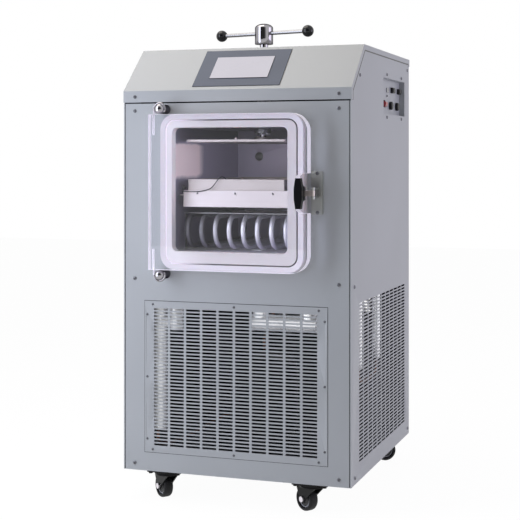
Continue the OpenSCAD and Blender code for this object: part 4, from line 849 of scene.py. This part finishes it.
def set_screws(node, name, radius, height):
    "A cross-recess head for each screw of a node, with its shank left out."
    template = mesh_of("pan_head", pan_head(radius, height))
    source, whole = copy_of(node), bmesh.new()
    for group in islands(source):
        before = len(whole.verts)
        whole.from_mesh(template)
        whole.verts.ensure_lookup_table()
        turned = screw_place(group, height) @ Matrix.Rotation(before * 0.37, 4, "Z")
        bmesh.ops.transform(whole, matrix=turned, verts=whole.verts[before:])
    source.free()
    bpy.data.meshes.remove(template)
    return piece(name, whole, [nickel], [node], "screw", sharp=30)

tell(set_screws("cabinet_screws", "cross_screws_large", 4.5, 2.6),
     set_screws("small_screws", "cross_screws_small", 3.0, 1.8))

# %% [markdown]
# ## Gland bolts
# Six hexagon bolts hold the spindle's gland against the chamber's roof. A head is a circle
# of six points, extruded and bevelled, and copied round the spindle.

# %% Gland bolts
BOLT_RING, BOLT_R, BOLT_H = 16.5, 4.2, 3.8
gland_z = box_mm("spindle_gland")[0].z + 0.3
form = bmesh.new()
for turn in range(6):
    spot = Matrix.Rotation(radians(60 * turn + 30), 4, "Z") @ Vector((BOLT_RING, 0, 0))
    place = Matrix.Translation(at(spot.x, press_y + spot.y, gland_z))
    ring = bmesh.ops.create_circle(form, cap_ends=True, radius=BOLT_R * MM, segments=6,
                                   matrix=place)["verts"]
    grow(form, [f for f in form.faces if all(v in ring for v in f.verts)], (0, 0, -BOLT_H))
tell(piece("gland_bolts", soften(outward(form), 0.5), [bright_zinc], slot="stainless",
           weighted=True))

# %% [markdown]
# ## Wheels
# Each wheel has a black rubber tyre on a dark nylon core, whose rim is rubbed pale. Both
# are spun about the axle of the roll joint, so the wheels turn true.

# %% Wheels
wheel_low, wheel_high = box_mm("caster_wheel_fl")
R, HALF, RIM = (wheel_high.z - wheel_low.z) / 2, 12.0, 20.5
tyre_line = [(RIM, -8), (RIM + 2, -HALF + 0.4), (RIM + 3, -HALF), (R - 4, -HALF),
             (R - 2, -HALF + 0.8), (R - 0.7, -HALF + 2.6), (R, -HALF + 6)]
core_line = [(4.1, -HALF), (8.2, -HALF), (9, -HALF + 0.8), (11, -HALF + 4), (12, -HALF + 4.6),
             (RIM - 3.5, -HALF + 4.6), (RIM - 2.5, -HALF + 3.8), (RIM, -8)]
for half_line in (tyre_line, core_line):
    half_line += [(r, -z) for r, z in reversed(half_line)]
joints = {j["name"]: j for j in frame["joints"]}

def axle_of(corner):
    "The middle and the direction of a wheel's axle."
    roll = joints["roll_" + corner]
    return Vector(roll["pos_m"]), Vector(roll["axis"]).normalized()

def from_axle(face, middle, axle):
    "How far the middle of a face lies off the axle's line and out along it, in metres."
    arm = face.calc_center_median() - middle
    return (arm - axle * arm.dot(axle)).length, abs(arm.dot(axle))

def wheel(corner):
    "The tyre and the core of one wheel."
    middle, axle = axle_of(corner)
    place, body = facing(middle, axle), "wheel_" + corner
    tyre = piece("tyre_" + corner, spun(tyre_line, place, 72, closed=True), [tyre_rubber],
                 ["caster_wheel_" + corner], "tread", body)
    form = mark(spun(core_line, place, 72, closed=True),
                lambda face: from_axle(face, middle, axle)[0] > (RIM - 3) * MM)
    return tyre, piece("wheel_core_" + corner, form, [core_nylon, ring_nylon], (),
                       "grey_plastic", body)

print("wheel radius", round(R, 2), "mm")

# %% [markdown]
# ## Forks and pedals
# A fork is pressed from steel sheet and enamelled, but the ends of its axle stay bright. The
# faces near the axle's line and outside the fork's legs get the bright finish.

# %% Casters
def fork(corner):
    "The fork of one caster, with bright axle ends."
    middle, axle = axle_of(corner)

    def axle_end(face):
        off, out = from_axle(face, middle, axle)
        return off < 7.3 * MM and out > (HALF + 4.05) * MM

    form = soften(mark(copy_of("caster_fork_" + corner), axle_end), 0.5)
    return piece("fork_" + corner, form, [enamel, edge_steel], ["caster_fork_" + corner],
                 "black_steel", "fork_" + corner, weighted=True)

for corner in ("fl", "fr", "rl", "rr"):
    tell(*wheel(corner), fork(corner))
for corner in ("fl", "fr"):
    tell(piece("pedal_" + corner, soften(copy_of("brake_pedal_" + corner), 0.5), [enamel],
               ["brake_pedal_" + corner], "black_steel", "pedal_" + corner, weighted=True))

# %% [markdown]
# ## Foil-wrapped pipes
# Insulation is wrapped round the cold pipes and taped with foil, which never lies smooth. A
# cylinder with many rings is pushed in and out by noise and left with hard creases.

# %% Foil-wrapped pipes
def wrapped(start, end, diameter, seed):
    "A creased cylinder between two millimetre points; its creases only go inwards."
    a, b = at(*start), at(*end)
    length, radius = (b - a).length, diameter / 2 * MM
    form = bmesh.new()
    bmesh.ops.create_cone(form, cap_ends=True, segments=26, radius1=radius, radius2=radius,
                          depth=length)
    sides = [e for e in form.edges if abs(e.verts[0].co.z - e.verts[1].co.z) > length / 2]
    rings = max(4, round(length / (7 * MM)))
    bmesh.ops.subdivide_edges(form, edges=sides, cuts=rings, use_grid_fill=True)
    for vert in form.verts:
        out = Vector((vert.co.x, vert.co.y, 0)).normalized()
        crease = 0.5 + 0.5 * noise.noise(vert.co * 75 + Vector((seed, 0, 0)))
        fine = 0.5 + 0.5 * noise.noise(vert.co * 210 + Vector((0, seed, 0)))
        vert.co -= out * (1.6 * crease + 1.2 * fine) * MM
    bmesh.ops.transform(form, matrix=facing((a + b) / 2, b - a), verts=form.verts)
    bmesh.ops.triangulate(form, faces=[f for f in form.faces if len(f.verts) == 4])
    return form

top = box_mm("insulated_pipes")[1].z
# Start, end and diameter of each run: the two groups behind the front grille, then the side's.
runs = [((-224, 62, 95), (-224, 62, top), 36), ((-179, 62, 352), (-179, 62, top), 36),
        ((-224, 62, 372), (-179, 62, 372), 34), ((34, 100, 374), (34, 100, top), 40),
        ((164, 100, 374), (164, 100, top), 40), ((12, 100, 374), (186, 100, 374), 46)]
for y in (253, 449):
    runs += [((250, y, 245), (250, y, 560), 25), ((180, y, 544), (250, y, 544), 24)]
form = join([wrapped(a, b, d, i * 3.7) for i, (a, b, d) in enumerate(runs)])
tell(piece("foil_wraps", form, [foil], ["insulated_pipes"], "foil", sharp=9))

# %% [markdown]
# ## Copper pipes
# The refrigerant runs in soft copper. The solids are eight-sided, so their merged copy gets
# one level of subdivision to make them round.

# %% Copper pipes
pipes = piece("bent_copper", copy_of("copper_pipes"), [copper], ["copper_pipes"], "copper",
              sharp=70)
rounder = pipes.modifiers.new("rounder", "SUBSURF")
rounder.levels = rounder.render_levels = 1
tell(pipes)

# %% [markdown]
# ## Operator panel
# The film's cut edge is drawn black: painted shade that makes a thin dark line round it. The
# screen is a sheet of lit glass with a black edge. On both, the largest front face gets the
# bright finish and all the others get the black one.

# %% Operator panel
def faced(node, width_mm):
    "A rounded copy whose largest front face keeps the first finish and the rest the second."
    form = soften(copy_of(node), width_mm)
    front = max(form.faces, key=lambda f: f.calc_area() if f.normal.y < -0.5 else 0)
    level, least = front.normal.copy(), 0.1 * front.calc_area()
    return mark(form, lambda face: face.normal.dot(level) <= 0.95 or face.calc_area() <= least)

PANEL = [("film_fascia", "control_fascia", 0.6, film, "fascia"),
         ("operator_screen", "touch_screen", 0.4, screen_light, "display")]
for name, node, width, finish, slot in PANEL:
    tell(piece(name, faced(node, width), [finish, moulded_black], [node], slot, weighted=True))

# %% [markdown]
# ## Room
# The world fills the shadows with a weak light. Camera, mirror and glass rays see a white
# room, except that mirrors find the dark end of the studio in front of the machine, where
# the camera stands: chrome needs something dark to look like chrome.

# %% Room
def seen_itself(tree):
    "1 for camera, mirror and glass rays and 0 for light, with the node that tells."
    rays = add(tree, "ShaderNodeLightPath")
    seen = rays.outputs["Is Camera Ray"]
    for kind in ("Is Glossy Ray", "Is Transmission Ray"):
        seen = reckon(tree, "MAXIMUM", seen, rays.outputs[kind])
    return seen, rays

bpy.context.scene.view_settings.view_transform = "Standard"
world = bpy.data.worlds.new("studio")
bpy.context.scene.world = world
world.use_nodes = True
tree = world.node_tree
seen, rays = seen_itself(tree)
fill = tree.nodes["Background"]
fill.inputs["Color"].default_value, fill.inputs["Strength"].default_value = colour("#f4f4f6"), 0.26
sight = add(tree, "ShaderNodeTexCoord").outputs["Generated"]
way = add(tree, "ShaderNodeSeparateXYZ", {"Vector": sight}).outputs["Y"]
limits = {"Value": way, "From Min": -0.93, "From Max": -0.6, "To Min": 0.95, "To Max": 0.0}
front = add(tree, "ShaderNodeMapRange", limits, interpolation_type="SMOOTHSTEP")
glossy, through_glass = rays.outputs["Is Glossy Ray"], rays.outputs["Is Transmission Ray"]
mirror = reckon(tree, "SUBTRACT", glossy, through_glass, use_clamp=True)
dark = reckon(tree, "MULTIPLY", mirror, front.outputs["Result"])
light = reckon(tree, "SUBTRACT", 1.0, dark)
white = add(tree, "ShaderNodeBackground", {"Color": (1, 1, 1, 1), "Strength": light})
mix = add(tree, "ShaderNodeMixShader", {0: seen, 1: fill.outputs[0], 2: white.outputs[0]})
tree.links.new(mix.outputs[0], tree.nodes["World Output"].inputs["Surface"])
print("room ready")

# %% [markdown]
# ## Floor
# The floor is pale paint. It looks white too, because nearly all of what the camera sees of
# it shines by itself, but the share that is left keeps the machine's soft shadow.

# %% Floor
floor_paint, tree, shader = start("pale_studio_floor", "#f0f0f2", 0.9)
share = reckon(tree, "MULTIPLY", seen_itself(tree)[0], 0.94)
lit = add(tree, "ShaderNodeEmission", {"Color": (1, 1, 1, 1), "Strength": 1.03})
mix = add(tree, "ShaderNodeMixShader", {0: share, 1: shader.outputs["BSDF"], 2: lit.outputs[0]})
tree.links.new(mix.outputs[0], tree.nodes["Material Output"].inputs["Surface"])

floor_form = bmesh.new()
bmesh.ops.create_grid(floor_form, x_segments=2, y_segments=2, size=9)
floor_mesh = mesh_of("studio_floor", floor_form)
floor_mesh.materials.append(floor_paint)
floor = put("studio_floor", floor_mesh)
floor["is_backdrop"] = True
print("floor", [round(v, 2) for v in floor.dimensions])

# %% [markdown]
# ## Lights
# A tall soft light stands at the front left, and weaker ones shine from the right and from
# above. A studio also hides small cards of light where a dark hollow needs a glint. Here
# one behind the gasket's right side lights the chamber's left wall, and three behind the
# grilles light the foil. The camera doesn't see them.

# %% Lights
def lamp(name, place, aim, size, power, code, hidden=False, mirrored=True):
    "A soft light of (width, height) that looks at a point; a hidden one can't be seen itself."
    data = bpy.data.lights.new(name, "AREA")
    data.shape, (data.size, data.size_y) = "RECTANGLE", size
    data.energy, data.color = power, colour(code)[:3]
    made = put(name, data)
    made.location = place
    made.rotation_euler = (Vector(aim) - Vector(place)).to_track_quat("-Z", "Y").to_euler()
    made.visible_camera = made.visible_transmission = not hidden
    made.visible_glossy = mirrored
    print(name, power, "W")

lamp("key_light", (-1.05, -1.35, 1.05), (0.1, -0.25, 0.85), (0.7, 1.9), 16.7, "#eaefff")
lamp("side_light", (2.3, 0.3, 1.1), (0, 0.1, 0.7), (1.2, 1.6), 13.0, "#e7deff")
lamp("top_light", (-0.7, -0.3, 2.9), (0, -0.1, 1.0), (1.6, 1.6), 26.2, "#fff6ea")
lamp("chamber_card", at(136, 40, 790), at(-150, 110, 790), (0.04, 0.1), 0.5, "#f6f2ff",
     hidden=True, mirrored=False)
for card, spot, target, size, power in (
        ("left_foil_card", at(-204, 14, 230), at(-204, 60, 230), (0.08, 0.36), 0.045),
        ("right_foil_card", at(100, 16, 396), at(100, 60, 396), (0.2, 0.07), 0.05),
        ("side_foil_card", at(290, 350, 400), at(260, 350, 400), (0.26, 0.3), 0.15)):
    lamp(card, spot, target, size, power, "#ffffff", hidden=True)

# %% Close
def plain(box):
    "Nested vectors as plain lists of numbers."
    return [plain(part) if hasattr(part, "__len__") else float(part) for part in box]

{"cad": plain(cad_box), "visual": plain(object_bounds())}
